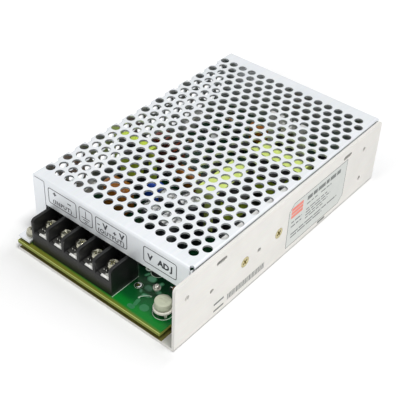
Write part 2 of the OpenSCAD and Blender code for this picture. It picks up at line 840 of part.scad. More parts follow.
module choke_winding() {
    color("khaki") wound_at(choke_at) winding(core_l, core_d, coil_out);
}

module choke_tape() {
    color("yellowgreen") wound_at(choke_at) core_tape(core_l, core_d);
}

module filter_bobbin() {
    color([0.15, 0.15, 0.15]) wound_at(filter_at) bobbin(small_core_l, small_core_d, small_coil_out);
}

module filter_core() {
    color([0.25, 0.25, 0.25]) wound_at(filter_at) e_core(small_core_l, small_core_d);
}

module filter_winding() {
    color("khaki") wound_at(filter_at) winding(small_core_l, small_core_d, small_coil_out);
}

module filter_tape() {
    color("yellowgreen") wound_at(filter_at) core_tape(small_core_l, small_core_d);
}

// Ferrite ring of the input choke, standing on its foot
module ring_choke_core() {
    color([0.25, 0.25, 0.25]) translate([ring_at[0], ring_at[1] + ring_t / 2, ring_z]) rotate([90, 0, 0])
        difference() {
            cylinder(d = ring_d, h = ring_t);
            translate([0, 0, -cut]) cylinder(d = ring_hole, h = ring_t + 2 * cut);
        }
}

// Copper turns on both halves of the ring, with the foot they are glued to
module ring_choke_winding() {
    grip = ring_coil_t;
    foot_l = ring_t + 2 * grip + 2;
    color("sienna") {
        translate([ring_at[0], ring_at[1] + ring_t / 2 + grip, ring_z]) rotate([90, 0, 0]) difference() {
            cylinder(d = ring_d + 2 * grip, h = ring_t + 2 * grip);
            translate([0, 0, -cut]) cylinder(d = ring_hole - 2 * grip, h = ring_t + 2 * grip + 2 * cut);
            translate([0, 0, grip]) difference() {
                cylinder(d = ring_d, h = ring_t);
                cylinder(d = ring_hole, h = ring_t);
            }
            translate([-1.2, -ring_d / 2 - grip - cut, -cut])
                cube([2.4, ring_d + 2 * grip + 2 * cut, ring_t + 2 * grip + 2 * cut]);
        }
        span([ring_at[0] - 7, ring_at[1] - foot_l / 2, board_top],
             [ring_at[0] + 7, ring_at[1] + foot_l / 2, board_top + ring_foot + ring_coil_t * 0.6]);
    }
}

// Aluminium angle that carries the heat of the power devices to the right wall
module heat_spreader() {
    flange_low = spreader_top - spreader_t / 2;
    color("silver") difference() {
        union() {
            span([spreader_in, spreader_y - spreader_l / 2, spreader_low],
                 [spreader_out, spreader_y + spreader_l / 2, spreader_top]);
            span([spreader_out - spreader_w, spreader_y - spreader_l / 2, flange_low],
                 [spreader_out, spreader_y + spreader_l / 2, spreader_top]);
        }
        for (y = wall_screw_ys)
            x_round(spreader_in - cut, spreader_out + cut, y, wall_screw_z, tap_d);
        for (y = device_ys)
            x_round(spreader_in - cut, spreader_out + cut, y, board_top + device_hole_up, tap_d);
    }
}

// Insulating pad between the spreader and the wall
module spreader_pad() {
    color("lightsteelblue") difference() {
        span([spreader_out, spreader_y - spreader_l / 2, spreader_low],
             [wall_in, spreader_y + spreader_l / 2, spreader_top]);
        for (y = wall_screw_ys)
            x_round(spreader_out - cut, wall_in + cut, y, wall_screw_z, screw_clear_d);
    }
}

// Power device standing on its leads, its tab's back on the X-Z plane, facing -Y
module device() {
    lead_w = 0.9;
    lead_pitch = 2.54;
    body_top = device_lead_h + device_body_h;
    difference() {
        union() {
            span([-device_w / 2, -device_tab_t, device_lead_h], [device_w / 2, 0, body_top + device_tab_h]);
            span([-device_w / 2, -device_t, device_lead_h], [device_w / 2, -device_tab_t / 2, body_top]);
            for (i = [-1:1])
                span([i * lead_pitch - lead_w / 2, -device_t * 0.6, 0],
                     [i * lead_pitch + lead_w / 2, -device_t * 0.6 + 0.6, device_lead_h + 0.5]);
        }
        translate([0, cut, device_hole_up]) rotate([90, 0, 0])
            cylinder(d = screw_clear_d, h = device_t + 2 * cut);
    }
}

// Power devices in a row on the heat spreader
module power_devices() {
    color([0.2, 0.2, 0.2]) for (y = device_ys)
        translate([spreader_in, y, board_top]) rotate(-90) device();
}

// Screws that hold the power devices to the spreader
module device_screws() {
    color("silver") for (y = device_ys)
        translate([spreader_in - device_tab_t, y, board_top + device_hole_up]) rotate([0, -90, 0])
            pan_screw(5.4, 2, tap_d - 2 * head_gap, device_tab_t + spreader_t - 0.4);
}

// Upright heat sink plate near the rear
module rear_heat_sink() {
    sink_top = wound_top - 0.4;
    fin_gap = 1.6;
    fins = 5;
    fin_h = 4;
    fin_pitch = sink_w / fins;
    low_x = sink_x - sink_w / 2;
    color("gainsboro") difference() {
        span([low_x, sink_y, board_top], [low_x + sink_w, sink_y + sink_t, sink_top]);
        for (i = [1:fins - 1])
            span([low_x + i * fin_pitch - fin_gap / 2, sink_y - cut, sink_top - fin_h],
                 [low_x + i * fin_pitch + fin_gap / 2, sink_y + sink_t + cut, sink_top + cut]);
        translate([sink_x, sink_y - cut, board_top + device_hole_up]) rotate([-90, 0, 0])
            cylinder(d = tap_d, h = sink_t + 2 * cut);
    }
}

// Rectifier on the rear heat sink
module rear_device() {
    color([0.2, 0.2, 0.2]) translate([sink_x, sink_y, board_top]) device();
}

// Screw of the rectifier
module rear_device_screw() {
    color("silver") translate([sink_x, sink_y - device_tab_t, board_top + device_hole_up])
        rotate([90, 0, 0]) pan_screw(5.4, 2, tap_d - 2 * head_gap, device_tab_t + sink_t);
}

// Electrolytic can with a crimped groove, standing on the board
module can(d, h) {
    rim = d * 0.06;
    groove_z = 2.2;
    rotate_extrude() difference() {
        union() {
            square([d / 2, h - rim]);
            square([d / 2 - rim, h]);
            translate([d / 2 - rim, h - rim]) circle(rim);
        }
        translate([d / 2 + 0.5, groove_z]) circle(0.9);
        translate([0, h - 0.3]) square([d / 2 - 2 * rim, cut]);
    }
}

// Large output cans
module output_capacitors() {
    color([0.18, 0.2, 0.24]) for (p = output_can_xy)
        translate([p[0], p[1], board_top]) can(can_d, can_h);
}

// Middle-sized cans
module small_capacitors() {
    color([0.18, 0.2, 0.24]) for (p = small_can_xy)
        translate([p[0], p[1], board_top]) can(small_can_d, small_can_h);
}

// Smallest cans
module bead_capacitors() {
    color([0.18, 0.2, 0.24]) for (p = bead_can_xy)
        translate([p[0], p[1], board_top]) can(bead_can_d, bead_can_h);
}

// Dipped film capacitors with round upper edges
module film_capacitors() {
    color("saddlebrown") for (box = film_boxes)
        translate([box[0][0], box[0][1], board_top]) {
            size = box[1];
            r = size[1] / 2 - 0.5;
            intersection() {
                translate([0, size[1] / 2, 0]) rotate([90, 0, 0]) linear_extrude(size[1])
                    top_round(-size[0] / 2, size[0] / 2, 0, size[2], r);
                linear_extrude(size[2]) round_rect(size[0], size[1], r / 2);
            }
        }
}

// Surge-absorbing disc standing on two leads
module surge_disc() {
    lead_d = 0.9;
    color("royalblue") translate([surge_at[0], surge_at[1], board_top]) {
        translate([0, disc_t / 2, surge_foot + disc_d / 2]) rotate([90, 0, 0])
            cylinder(d = disc_d, h = disc_t);
        for (side = [-1, 1])
            translate([side * disc_d / 4, 0, 0]) cylinder(d = lead_d, h = surge_foot + disc_d / 4);
    }
}

// Small drum choke with a waist for its wire
module drum_choke() {
    drum_d = 5;
    drum_h = 4.6;
    color([0.1, 0.1, 0.1]) translate([drum_at[0], drum_at[1], board_top]) rotate_extrude() difference() {
        square([drum_d / 2, drum_h]);
        translate([drum_d / 2 - 0.6, 1]) square([cut, drum_h - 2]);
    }
}

// Tubular fuse with its end caps, in two clips
module fuse() {
    cap_l = 5;
    clip_t = 0.6;
    clip_l = 3;
    clip_grip = 0.8;
    fuse_lift = 1;
    color("tan") translate([fuse_at[0], fuse_at[1], board_top + fuse_lift + fuse_d / 2]) {
        x_round(-fuse_l / 2, fuse_l / 2, 0, 0, fuse_d - 0.6);
        for (side = [-1, 1]) translate([side * (fuse_l - cap_l) / 2, 0, 0]) {
            x_round(-cap_l / 2, cap_l / 2, 0, 0, fuse_d);
            span([-clip_l / 2, -fuse_d / 2 - clip_t, -fuse_lift - fuse_d / 2],
                 [clip_l / 2, fuse_d / 2 + clip_t, -fuse_d / 2 + clip_grip]);
        }
    }
}

// Control chips and couplers: moulded bodies on two rows of pins
module chip(size) {
    stand = 0.6;
    pin_w = 0.6;
    pin_pitch = 2.54;
    pins = floor(size[1] / pin_pitch);
    translate([-size[0] / 2, -size[1] / 2, stand]) cube([size[0], size[1], size[2] - stand]);
    for (side = [-1, 1], i = [0:pins - 1])
        translate([side * (size[0] / 2 + 0.3) - 0.5, (i - (pins - 1) / 2) * pin_pitch - pin_w / 2, 0])
            cube([1, pin_w, size[2] / 2 + 0.2]);
}

module control_chips() {
    color([0.15, 0.15, 0.16]) for (box = chip_boxes)
        translate([box[0][0], box[0][1], board_top]) chip(box[1]);
}

// Axial part lying along X on two bent leads
module axial(d, l, span_l) {
    lead_d = 0.7;
    x_round(-l / 2, l / 2, 0, d / 2, d);
    x_round(-span_l / 2, span_l / 2, 0, d / 2, lead_d);
    for (side = [-1, 1])
        translate([side * span_l / 2, 0, 0]) cylinder(d = lead_d, h = d / 2 + lead_d / 2);
}

// Axial resistors
module resistors() {
    color("burlywood") for (p = resistor_xyt)
        translate([p[0], p[1], board_top]) rotate(p[2]) axial(2.4, 6.4, 10);
}

// Axial diodes
module diodes() {
    color([0.12, 0.12, 0.12]) for (p = diode_xyt)
        translate([p[0], p[1], board_top]) rotate(p[2]) axial(3.2, 6, 10.5);
}

// Bare wire links
module wire_links() {
    link_d = 0.7;
    link_l = 5.2;
    color("silver") for (p = link_xyt)
        translate([p[0], p[1], board_top]) rotate(p[2]) {
            x_round(-link_l / 2, link_l / 2, 0, link_d / 2, link_d);
            for (side = [-1, 1])
                translate([side * link_l / 2, 0, 0]) cylinder(d = link_d, h = link_d);
        }
}

base_bracket();
top_cover();
cover_screws();
wall_screws();
insulation_sheet();
board_standoffs();
circuit_board();
board_screws();
terminal_block();
terminal_contacts();
terminal_clamp(1);  // terminal_clamp_1
terminal_clamp(2);  // terminal_clamp_2
terminal_clamp(3);  // terminal_clamp_3
terminal_clamp(4);  // terminal_clamp_4
terminal_clamp(5);  // terminal_clamp_5
terminal_screw(1);  // terminal_screw_1
terminal_screw(2);  // terminal_screw_2
terminal_screw(3);  // terminal_screw_3
terminal_screw(4);  // terminal_screw_4
terminal_screw(5);  // terminal_screw_5
trimmer_frame();
trimmer_knob();
indicator_led();
transformer_bobbin();
transformer_core();
transformer_winding();
transformer_tape();
choke_bobbin();
choke_core();
choke_winding();
choke_tape();
filter_bobbin();
filter_core();
filter_winding();
filter_tape();
ring_choke_core();
ring_choke_winding();
heat_spreader();
spreader_pad();
power_devices();
device_screws();
rear_heat_sink();
rear_device();
rear_device_screw();
output_capacitors();
small_capacitors();
bead_capacitors();
film_capacitors();
surge_disc();
drum_choke();
fuse();
control_chips();
resistors();
diodes();
wire_links();
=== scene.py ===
"""Looks of an enclosed dc-dc converter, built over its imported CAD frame.

Every size below is in millimetres in the part's own frame: X across the case towards the
full wall, Y along the case away from the terminals, Z up from the underside.
"""

import logging
import math
from collections.abc import Callable, Iterable, Iterator, Sequence
from contextlib import contextmanager
from dataclasses import dataclass
from enum import Enum

import bmesh
import bpy
from mathutils import Matrix, Vector


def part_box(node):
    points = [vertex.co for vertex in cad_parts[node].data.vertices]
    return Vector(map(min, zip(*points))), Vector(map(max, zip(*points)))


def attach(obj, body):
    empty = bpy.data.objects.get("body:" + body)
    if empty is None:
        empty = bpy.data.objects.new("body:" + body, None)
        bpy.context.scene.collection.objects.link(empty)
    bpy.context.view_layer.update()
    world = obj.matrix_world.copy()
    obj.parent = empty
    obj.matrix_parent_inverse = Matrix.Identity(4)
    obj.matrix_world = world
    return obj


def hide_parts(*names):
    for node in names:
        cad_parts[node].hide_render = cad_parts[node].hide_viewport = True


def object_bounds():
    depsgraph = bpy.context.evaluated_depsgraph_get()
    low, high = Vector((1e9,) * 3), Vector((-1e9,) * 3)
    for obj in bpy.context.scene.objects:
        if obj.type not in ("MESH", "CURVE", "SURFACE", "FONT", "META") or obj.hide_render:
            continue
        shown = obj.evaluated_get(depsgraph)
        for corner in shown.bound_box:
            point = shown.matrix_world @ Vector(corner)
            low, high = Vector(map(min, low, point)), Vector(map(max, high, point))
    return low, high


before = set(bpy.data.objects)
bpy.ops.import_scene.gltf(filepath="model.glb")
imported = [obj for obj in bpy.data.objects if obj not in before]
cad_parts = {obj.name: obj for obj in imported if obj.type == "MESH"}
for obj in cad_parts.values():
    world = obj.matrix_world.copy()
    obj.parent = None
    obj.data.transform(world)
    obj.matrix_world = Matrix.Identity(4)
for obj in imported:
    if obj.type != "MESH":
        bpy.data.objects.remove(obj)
CAD_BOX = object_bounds()
# One millimetre in Blender's metres
MM = 0.001
# Height of the board's upper face, and thickness of a film of ink or tape, in millimetres
BOARD_TOP = 5.6
PRINT_THICK = 0.008
LOG = logging.getLogger("converter")
Point = tuple[float, float, float]
Pair = tuple[float, float]
Feeds = dict[str, bpy.types.NodeSocket]


def linear(code: str) -> tuple[float, float, float, float]:
    """Turns an sRGB hex value into Blender's linear colour.

    Args:
        code: six hex digits, such as "C0C4C8".

    Returns:
        The linear red, green, blue and a full alpha.
    """
    parts = [int(code[i:i + 2], 16) / 255 for i in (0, 2, 4)]
    red, green, blue = (p / 12.92 if p <= 0.04045 else ((p + 0.055) / 1.055) ** 2.4 for p in parts)
    return red, green, blue, 1.0


def per_mm(size: float) -> float:
    """Gives a texture's scale for features of this size in millimetres."""
    return 1 / (size * MM)


def add_node(tree: bpy.types.NodeTree, kind: str, settings: dict | None = None,
             inputs: dict | None = None) -> bpy.types.Node:
    """Adds a node with its settings, and fills or links its inputs.

    Args:
        tree: The node tree of a material or of the world.
        kind: Blender's name for the node, without its "ShaderNode".
        settings: Attributes of the node by name.
        inputs: Values, or sockets to link from, by the input's name or number.

    Returns:
        The new node.
    """
    node = tree.nodes.new("ShaderNode" + kind)
    for name, value in (settings or {}).items():
        setattr(node, name, value)
    for key, value in (inputs or {}).items():
        if isinstance(value, bpy.types.NodeSocket):
            tree.links.new(value, node.inputs[key])
        else:
            node.inputs[key].default_value = value
    return node


class Axis(Enum):
    """The way a round piece points, as the turn that takes +Z there."""

    UP = (0.0, 0.0, 0.0)
    RIGHT = (0.0, math.pi / 2, 0.0)
    REAR = (-math.pi / 2, 0.0, 0.0)


class Elements(Enum):
    """What a selection in edit mode is made of."""

    VERTS = (True, False, False)
    EDGES = (False, True, False)
    FACES = (False, False, True)


class Bench:
    """The modelling steps, each taken as a hand at the screen takes it. Sizes are in millimetres."""

    @staticmethod
    def take(*pieces: bpy.types.Object) -> None:
        """Selects objects alone, with the first one active.

        Args:
            *pieces: The objects.
        """
        bpy.ops.object.select_all(action="DESELECT")
        for piece in pieces:
            piece.select_set(True)
        bpy.context.view_layer.objects.active = pieces[0]

    @staticmethod
    def settle(piece: bpy.types.Object, name: str) -> bpy.types.Object:
        """Names a piece and moves its place, turn and size into its mesh.

        Args:
            piece: The object to settle.
            name: The name for it and for its mesh.

        Returns:
            The same object, now at the origin.
        """
        Bench.take(piece)
        bpy.ops.object.transform_apply(location=True, rotation=True, scale=True)
        piece.name = piece.data.name = name
        return piece

    @staticmethod
    @contextmanager
    def editing(piece: bpy.types.Object) -> Iterator[None]:
        """Opens a piece in edit mode with all of it selected, and closes it again.

        Args:
            piece: The object to edit.

        Yields:
            Nothing.
        """
        Bench.take(piece)
        bpy.ops.object.mode_set(mode="EDIT")
        bpy.ops.mesh.select_all(action="SELECT")
        yield
        bpy.ops.object.mode_set(mode="OBJECT")

    @staticmethod
    def pick(piece: bpy.types.Object, kind: Elements, test: Callable[[Vector, Vector], bool]) -> None:
        """Selects the elements that pass a test, in edit mode.

        Args:
            piece: The object in edit mode.
            kind: What is selected.
            test: Takes an element's middle and its direction: a normal, or an edge's run.
        """
        bpy.context.tool_settings.mesh_select_mode = kind.value
        bpy.ops.mesh.select_all(action="DESELECT")
        mesh = bmesh.from_edit_mesh(piece.data)
        mesh.normal_update()
        if kind is Elements.FACES:
            for face in mesh.faces:
                face.select_set(test(face.calc_center_median() / MM, face.normal))
        elif kind is Elements.VERTS:
            for vert in mesh.verts:
                vert.select_set(test(vert.co / MM, vert.normal))
        else:
            for edge in mesh.edges:
                start, end = (vert.co / MM for vert in edge.verts)
                edge.select_set(test((start + end) / 2, (end - start).normalized()))
        bmesh.update_edit_mesh(piece.data)

    @staticmethod
    def extrude(shift: Point) -> None:
        """Extrudes what is selected in edit mode by a shift."""
        bpy.ops.mesh.extrude_region_move(TRANSFORM_OT_translate={"value": Vector(shift) * MM})

    @staticmethod
    def block(name: str, low: Point, high: Point) -> bpy.types.Object:
        """Adds a block between two corners.

        Args:
            name: The piece's name.
            low: Its lowest corner.
            high: Its highest corner.

        Returns:
            The block.
        """
        bpy.ops.object.select_all(action="DESELECT")
        corner, reach = Vector(low), Vector(high) - Vector(low)
        bpy.ops.mesh.primitive_cube_add(size=1, location=(corner + reach / 2) * MM, scale=reach * MM)
        return Bench.settle(bpy.context.object, name)

    @staticmethod
    def lathe(name: str, place: Point, rings: Sequence[Pair], axis: Axis = Axis.UP,
              segments: int = 32) -> bpy.types.Object:
        """Draws a turned solid: a disc is extruded and resized from ring to ring.

        Args:
            name: The piece's name.
            place: Where the height 0 of its axis stands.
            rings: Radius and height of each ring, from the foot on.
            axis: The way the heights run.
            segments: Sides of the disc.

        Returns:
            The turned piece.
        """
        bpy.ops.object.select_all(action="DESELECT")
        radius, height = rings[0]
        bpy.ops.mesh.primitive_circle_add(
            vertices=segments, radius=radius * MM, fill_type="NGON", location=(0, 0, height * MM))
        piece = Bench.settle(bpy.context.object, name)
        with Bench.editing(piece):
            for wide, high in rings[1:]:
                Bench.extrude((0, 0, high - height))
                share = wide / radius
                bpy.ops.transform.resize(value=(share, share, 1), center_override=(0, 0, high * MM))
                radius, height = wide, high
            bpy.ops.mesh.select_all(action="SELECT")
            bpy.ops.mesh.normals_make_consistent(inside=False)
        piece.rotation_euler = axis.value
        piece.location = Vector(place) * MM
        return Bench.settle(piece, name)

    @staticmethod
    def washer(name: str, place: Point, outer: float, inner: float, height: float) -> bpy.types.Object:
        """Draws a flat ring with a bore.

        Args:
            name: The piece's name.
            place: Middle of its lower face.
            outer: Outer radius.
            inner: Radius of the bore.
            height: Thickness.

        Returns:
            The ring.
        """
        piece = Bench.lathe(name, place, (
            (inner, 0), (outer, 0), (outer, height * 0.7), (outer - height * 0.3, height), (inner, height)))
        middle = Vector(place).xy
        with Bench.editing(piece):
            Bench.pick(piece, Elements.FACES, lambda mid, normal: (mid.xy - middle).length < inner * 0.1)
            bpy.ops.mesh.delete(type="ONLY_FACE")
            Bench.pick(piece, Elements.EDGES, lambda mid, run: abs(run.z) < 0.1
                       and (mid.xy - middle).length < inner * 1.001)
            bpy.ops.mesh.bridge_edge_loops()
            bpy.ops.mesh.select_all(action="SELECT")
            bpy.ops.mesh.normals_make_consistent(inside=False)
        return piece

    @staticmethod
    def modify(piece: bpy.types.Object, kind: str, **settings: object) -> bpy.types.Object:
        """Adds a modifier and applies it.

        Args:
            piece: The object to change.
            kind: Blender's name of the modifier's type.
            **settings: The modifier's attributes.

        Returns:
            The same object.
        """
        Bench.take(piece)
        step = piece.modifiers.new(kind.lower(), kind)
        for key, value in settings.items():
            setattr(step, key, value)
        bpy.ops.object.modifier_apply(modifier=step.name)
        return piece

    @staticmethod
    def round_edges(piece: bpy.types.Object, width: float, segments: int = 2) -> bpy.types.Object:
        """Rounds the sharp edges and shades the rest smooth.

        Args:
            piece: The object to round.
            width: Width of the rounding.
            segments: Its steps.

        Returns:
            The same object.
        """
        Bench.modify(piece, "BEVEL", width=width * MM, segments=segments, limit_method="ANGLE",
                     angle_limit=math.radians(40))
        return Bench.smooth(piece)

    @staticmethod
    def smooth(piece: bpy.types.Object, angle: float = 38.0) -> bpy.types.Object:
        """Shades a piece smooth.

        Args:
            piece: The object to shade.
            angle: The sharpest edge that is shaded smooth, in degrees.

        Returns:
            The same object.
        """
        Bench.take(piece)
        bpy.ops.object.shade_smooth_by_angle(angle=math.radians(angle))
        return piece

    @staticmethod
    def carve(piece: bpy.types.Object, *tools: bpy.types.Object) -> bpy.types.Object:
        """Cuts tools out of a piece and throws the tools away.

        Args:
            piece: The object to cut.
            *tools: Closed shapes.

        Returns:
            The piece.
        """
        for tool in tools:
            Bench.modify(piece, "BOOLEAN", operation="DIFFERENCE", object=tool, solver="EXACT")
            bpy.data.objects.remove(tool)
        return piece

    @staticmethod
    def join(name: str, *pieces: bpy.types.Object) -> bpy.types.Object:
        """Joins pieces into one object.

        Args:
            name: The name for it.
            *pieces: The objects, which become one.

        Returns:
            The joined object.
        """
        Bench.take(*pieces)
        if len(pieces) > 1:
            bpy.ops.object.join()
        return Bench.settle(bpy.context.object, name)

    @staticmethod
    def place(piece: bpy.types.Object, name: str, spot: Point = (0, 0, 0),
              turn: float = 0.0) -> bpy.types.Object:
        """Puts a piece that was modelled at the origin in its place.

        Args:
            piece: The piece.
            name: Its name.
            spot: Where its origin goes.
            turn: Its turn about Z, in degrees.

        Returns:
            The piece.
        """
        piece.location = Vector(spot) * MM
        piece.rotation_euler = (0, 0, math.radians(turn))
        return Bench.settle(piece, name)

    @staticmethod
    def stand(model: bpy.types.Object, name: str, spot: Point, turn: float = 0.0) -> bpy.types.Object:
        """Stands a copy of a model in its place.

        Args:
            model: The model, at the origin.
            name: The copy's name.
            spot: Where its origin goes.
            turn: Its turn about Z, in degrees.

        Returns:
            The copy, with its own mesh.
        """
        Bench.take(model)
        bpy.ops.object.duplicate(linked=False)
        return Bench.place(bpy.context.object, name, spot, turn)

    @staticmethod
    def spread(model: bpy.types.Object, name: str, spots: Iterable[tuple[Point, float]]) -> bpy.types.Object:
        """Stands copies of a model in their places as one piece, and throws the model away.

        Args:
            model: The model, at the origin.
            name: The piece's name.
            spots: Place and turn of each copy.

        Returns:
            The piece.
        """
        copies = [Bench.stand(model, f"{name}_copy", spot, turn) for spot, turn in spots]
        bpy.data.objects.remove(model)
        return Bench.join(name, *copies)

    @staticmethod
    def wire(name: str, points: Sequence[Point], radius: float, closed: bool = False,
             sides: int = 2) -> bpy.types.Object:
        """Draws a round wire along smooth points.

        Args:
            name: The piece's name.
            points: Points on its middle line.
            radius: Half its thickness.
            closed: True where the last point meets the first.
            sides: Steps of each quarter of its section.

        Returns:
            The wire as a mesh.
        """
        bpy.ops.object.select_all(action="DESELECT")
        bpy.ops.curve.primitive_bezier_curve_add(location=(0, 0, 0))
        piece = bpy.context.object
        run = piece.data
        run.splines.clear()
        spline = run.splines.new("BEZIER")
        spline.bezier_points.add(len(points) - 1)
        for knot, point in zip(spline.bezier_points, points):
            knot.co = Vector(point) * MM
            knot.handle_left_type = knot.handle_right_type = "AUTO"
        spline.use_cyclic_u = closed
        run.dimensions = "3D"
        run.resolution_u = 4
        run.bevel_depth = radius * MM
        run.bevel_resolution = sides
        run.use_fill_caps = True
        bpy.ops.object.convert(target="MESH")
        return Bench.smooth(Bench.settle(bpy.context.object, name), 60)


class Plane(Enum):
    """A face of the case that carries print: the turn that lays letters on it."""

    FLANGE = (math.pi / 2, 0.0, 0.0)
    WALL = (math.pi / 2, 0.0, math.pi / 2)
    BOARD = (0.0, 0.0, 0.0)


@dataclass(frozen=True)
class Sheet:
    """A printing surface: a plane and its distance along the plane's own axis."""

    plane: Plane
    level: float

    def at(self, across: float, up: float, proud: float = 0.0) -> Vector:
        """Gives a point of the sheet.

        Args:
            across: Place along the line of print.
            up: Place across the line of print.
            proud: Height over the sheet.

        Returns:
            The point in metres.
        """
        if self.plane is Plane.FLANGE:
            spot = (across, self.level - proud, up)
        elif self.plane is Plane.WALL:
            spot = (self.level + proud, across, up)
        else:
            spot = (across, up, self.level + proud)
        return Vector(spot) * MM

    def patch(self, name: str, low: Pair, high: Pair, proud: float,
              corner: float = 0.0) -> bpy.types.Object:
        """Lays a flat patch between two corners.

        Args:
            name: The patch's name.
            low: Its lower left corner on the sheet.
            high: Its upper right corner.
            proud: Its height over the sheet.
            corner: Radius of its corners.

        Returns:
            The patch.
        """
        bpy.ops.object.select_all(action="DESELECT")
        middle = self.at((low[0] + high[0]) / 2, (low[1] + high[1]) / 2, proud)
        bpy.ops.mesh.primitive_plane_add(size=1, location=middle, rotation=self.plane.value)
        piece = bpy.context.object
        piece.scale = ((high[0] - low[0]) * MM, (high[1] - low[1]) * MM, 1)
        Bench.settle(piece, name)
        if corner:
            with Bench.editing(piece):
                bpy.ops.mesh.bevel(offset=corner * MM, segments=4, affect="VERTICES")
        return piece

    def outline(self, name: str, low: Pair, high: Pair, line: float,
                corner: float, proud: float) -> bpy.types.Object:
        """Draws a rounded frame of one line width.

        Args:
            name: The frame's name.
            low: Its lower left corner.
            high: Its upper right corner.
            line: Width of the line.
            corner: Radius of its corners.
            proud: Its height over the sheet.

        Returns:
            The frame.
        """
        piece = self.patch(name, low, high, proud, corner)
        with Bench.editing(piece):
            bpy.ops.mesh.inset(thickness=line * MM, depth=0)
            bpy.ops.mesh.delete(type="FACE")
        return piece

    @staticmethod
    def thicken(piece: bpy.types.Object) -> bpy.types.Object:
        """Gives flat print the thickness of its film, towards the surface it lies on."""
        return Bench.modify(piece, "SOLIDIFY", thickness=PRINT_THICK * MM, offset=-1.0)

    def words(self, name: str, text: str, middle: Pair, height: float, proud: float,
              spread: float = 1.0, bold: float = 0.03) -> bpy.types.Object:
        """Sets a line of letters.

        Args:
            name: The piece's name.
            text: What it says.
            middle: The middle of the line.
            height: Height of its capitals.
            proud: Its height over the sheet.
            spread: Spacing of its letters.
            bold: What is added round each stroke, as a share of the height.

        Returns:
            The letters as a mesh.
        """
        bpy.ops.object.select_all(action="DESELECT")
        bpy.ops.object.text_add(location=self.at(*middle, proud), rotation=self.plane.value)
        line = bpy.context.object.data
        line.body = text
        line.size = height * MM / 0.7
        line.space_character = spread
        line.align_x, line.align_y = "CENTER", "CENTER"
        line.resolution_u = 3
        line.offset = height * MM * bold
        bpy.ops.object.convert(target="MESH")
        return Bench.settle(bpy.context.object, name)


def mount(piece: bpy.types.Object, body: str, slot: str, *nodes: str) -> bpy.types.Object:
    """Puts a finished piece on its body, in place of the CAD nodes that it stands for.

    Args:
        piece: The finished piece.
        body: The body it rides on.
        slot: The record's material slot it belongs to; not used.
        *nodes: CAD nodes that it replaces.

    Returns:
        The piece.
    """
    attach(piece, body)
    if nodes:
        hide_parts(*nodes)
    LOG.info("%s rides on %s, %d faces", piece.name, body, len(piece.data.polygons))
    return piece


@dataclass(frozen=True)
class Finish:
    """A surface, named for its material and for how it was made.

    Its pattern mixes the shade into the colour.
    """

    name: str
    colour: str
    roughness: float
    metallic: float = 0.0
    shade: str = "808080"
    specular: float = 0.5

    def material(self) -> bpy.types.Material:
        """Gives the finish's material, made once.

        Returns:
            The node material of this finish.
        """
        known = bpy.data.materials.get(self.name)
        if known:
            return known
        made = bpy.data.materials.new(self.name)
        made.use_nodes = True
        tree = made.node_tree
        tree.nodes.clear()
        shader = add_node(tree, "BsdfPrincipled", None, {
            "Base Color": linear(self.colour), "Roughness": self.roughness, "Metallic": self.metallic,
            "Specular IOR Level": self.specular})
        add_node(tree, "OutputMaterial", None, {"Surface": shader.outputs["BSDF"]})
        place = add_node(tree, "TexCoord").outputs["Object"]
        for name, source in self.paint(tree, place).items():
            tree.links.new(source, shader.inputs[name])
        return made

    def paint(self, tree: bpy.types.NodeTree, place: bpy.types.NodeSocket) -> Feeds:
        """Draws what the surface shows beyond its plain colour.

        Args:
            tree: The material's tree.
            place: The surface's place in the part's frame, in metres.

        Returns:
            What feeds the shader's inputs, by their names.
        """
        return {}

    def mottled(self, tree: bpy.types.NodeTree, pattern: bpy.types.NodeSocket, low: float, high: float,
                most: float = 1.0) -> bpy.types.NodeSocket:
        """Mixes the shade into the colour where a pattern is high.

        Args:
            tree: The material's tree.
            pattern: The pattern, from 0 to 1.
            low: The pattern's level where the shade sets in.
            high: Its level where the shade is at its most.
            most: The shade's largest share.

        Returns:
            The mixed colour.
        """
        share = add_node(tree, "MapRange", None, {0: pattern, 1: low, 2: high, 3: 0.0, 4: most})
        return add_node(tree, "Mix", {"data_type": "RGBA"}, {
            0: share.outputs[0], 6: linear(self.colour), 7: linear(self.shade)}).outputs[2]

    def dress(self, *pieces: bpy.types.Object) -> bpy.types.Object:
        """Gives pieces this finish all over, in place of what they had.

        Args:
            *pieces: The pieces.

        Returns:
            The first of them.
        """
        for piece in pieces:
            piece.data.materials.clear()
            piece.data.materials.append(self.material())
        return pieces[0]


@dataclass(frozen=True)
class RolledSheet(Finish):
    """Cold-rolled sheet: fine rolling streaks along the case, cloudy oil-dull patches, satin gloss."""

    shade: str = "C8CCD2"
    # Real streaks are about 0.05 mm wide: drawn coarser, so that they show
    streak: float = 0.35
    streak_length: float = 14.0
    cloud: float = 16.0
    grain: float = 0.12

    def paint(self, tree: bpy.types.NodeTree, place: bpy.types.NodeSocket) -> Feeds:
        """Draws the streaks and the clouds.

        Args:
            tree: The material's tree.
            place: The surface's place in the part's frame, in metres.

        Returns:
            What feeds the shader's inputs, by their names.
        """
        drawn = add_node(tree, "Mapping", None, {
            0: place, "Scale": (1.0, self.streak / self.streak_length, 1.0)})
        streaks = add_node(tree, "TexNoise", None, {
            "Vector": drawn.outputs[0], "Scale": per_mm(self.streak), "Detail": 2.0})
        clouds = add_node(tree, "TexNoise", None, {0: place, "Scale": per_mm(self.cloud), "Detail": 3.0})
        lined = add_node(tree, "Mix", {"data_type": "RGBA", "blend_type": "MULTIPLY"}, {
            0: self.grain, 6: self.mottled(tree, clouds.outputs["Fac"], 0.35, 0.7, 0.55),
            7: streaks.outputs["Color"]})
        gloss = add_node(tree, "MapRange", None, {
            0: streaks.outputs["Fac"], 1: 0.3, 2: 0.7, 3: self.roughness - 0.05, 4: self.roughness + 0.07})
        relief = add_node(tree, "Bump", None, {
            "Strength": 0.06, "Distance": 0.02 * MM, "Height": streaks.outputs["Fac"]})
        return {"Base Color": lined.outputs[2], "Roughness": gloss.outputs[0], "Normal": relief.outputs[0]}


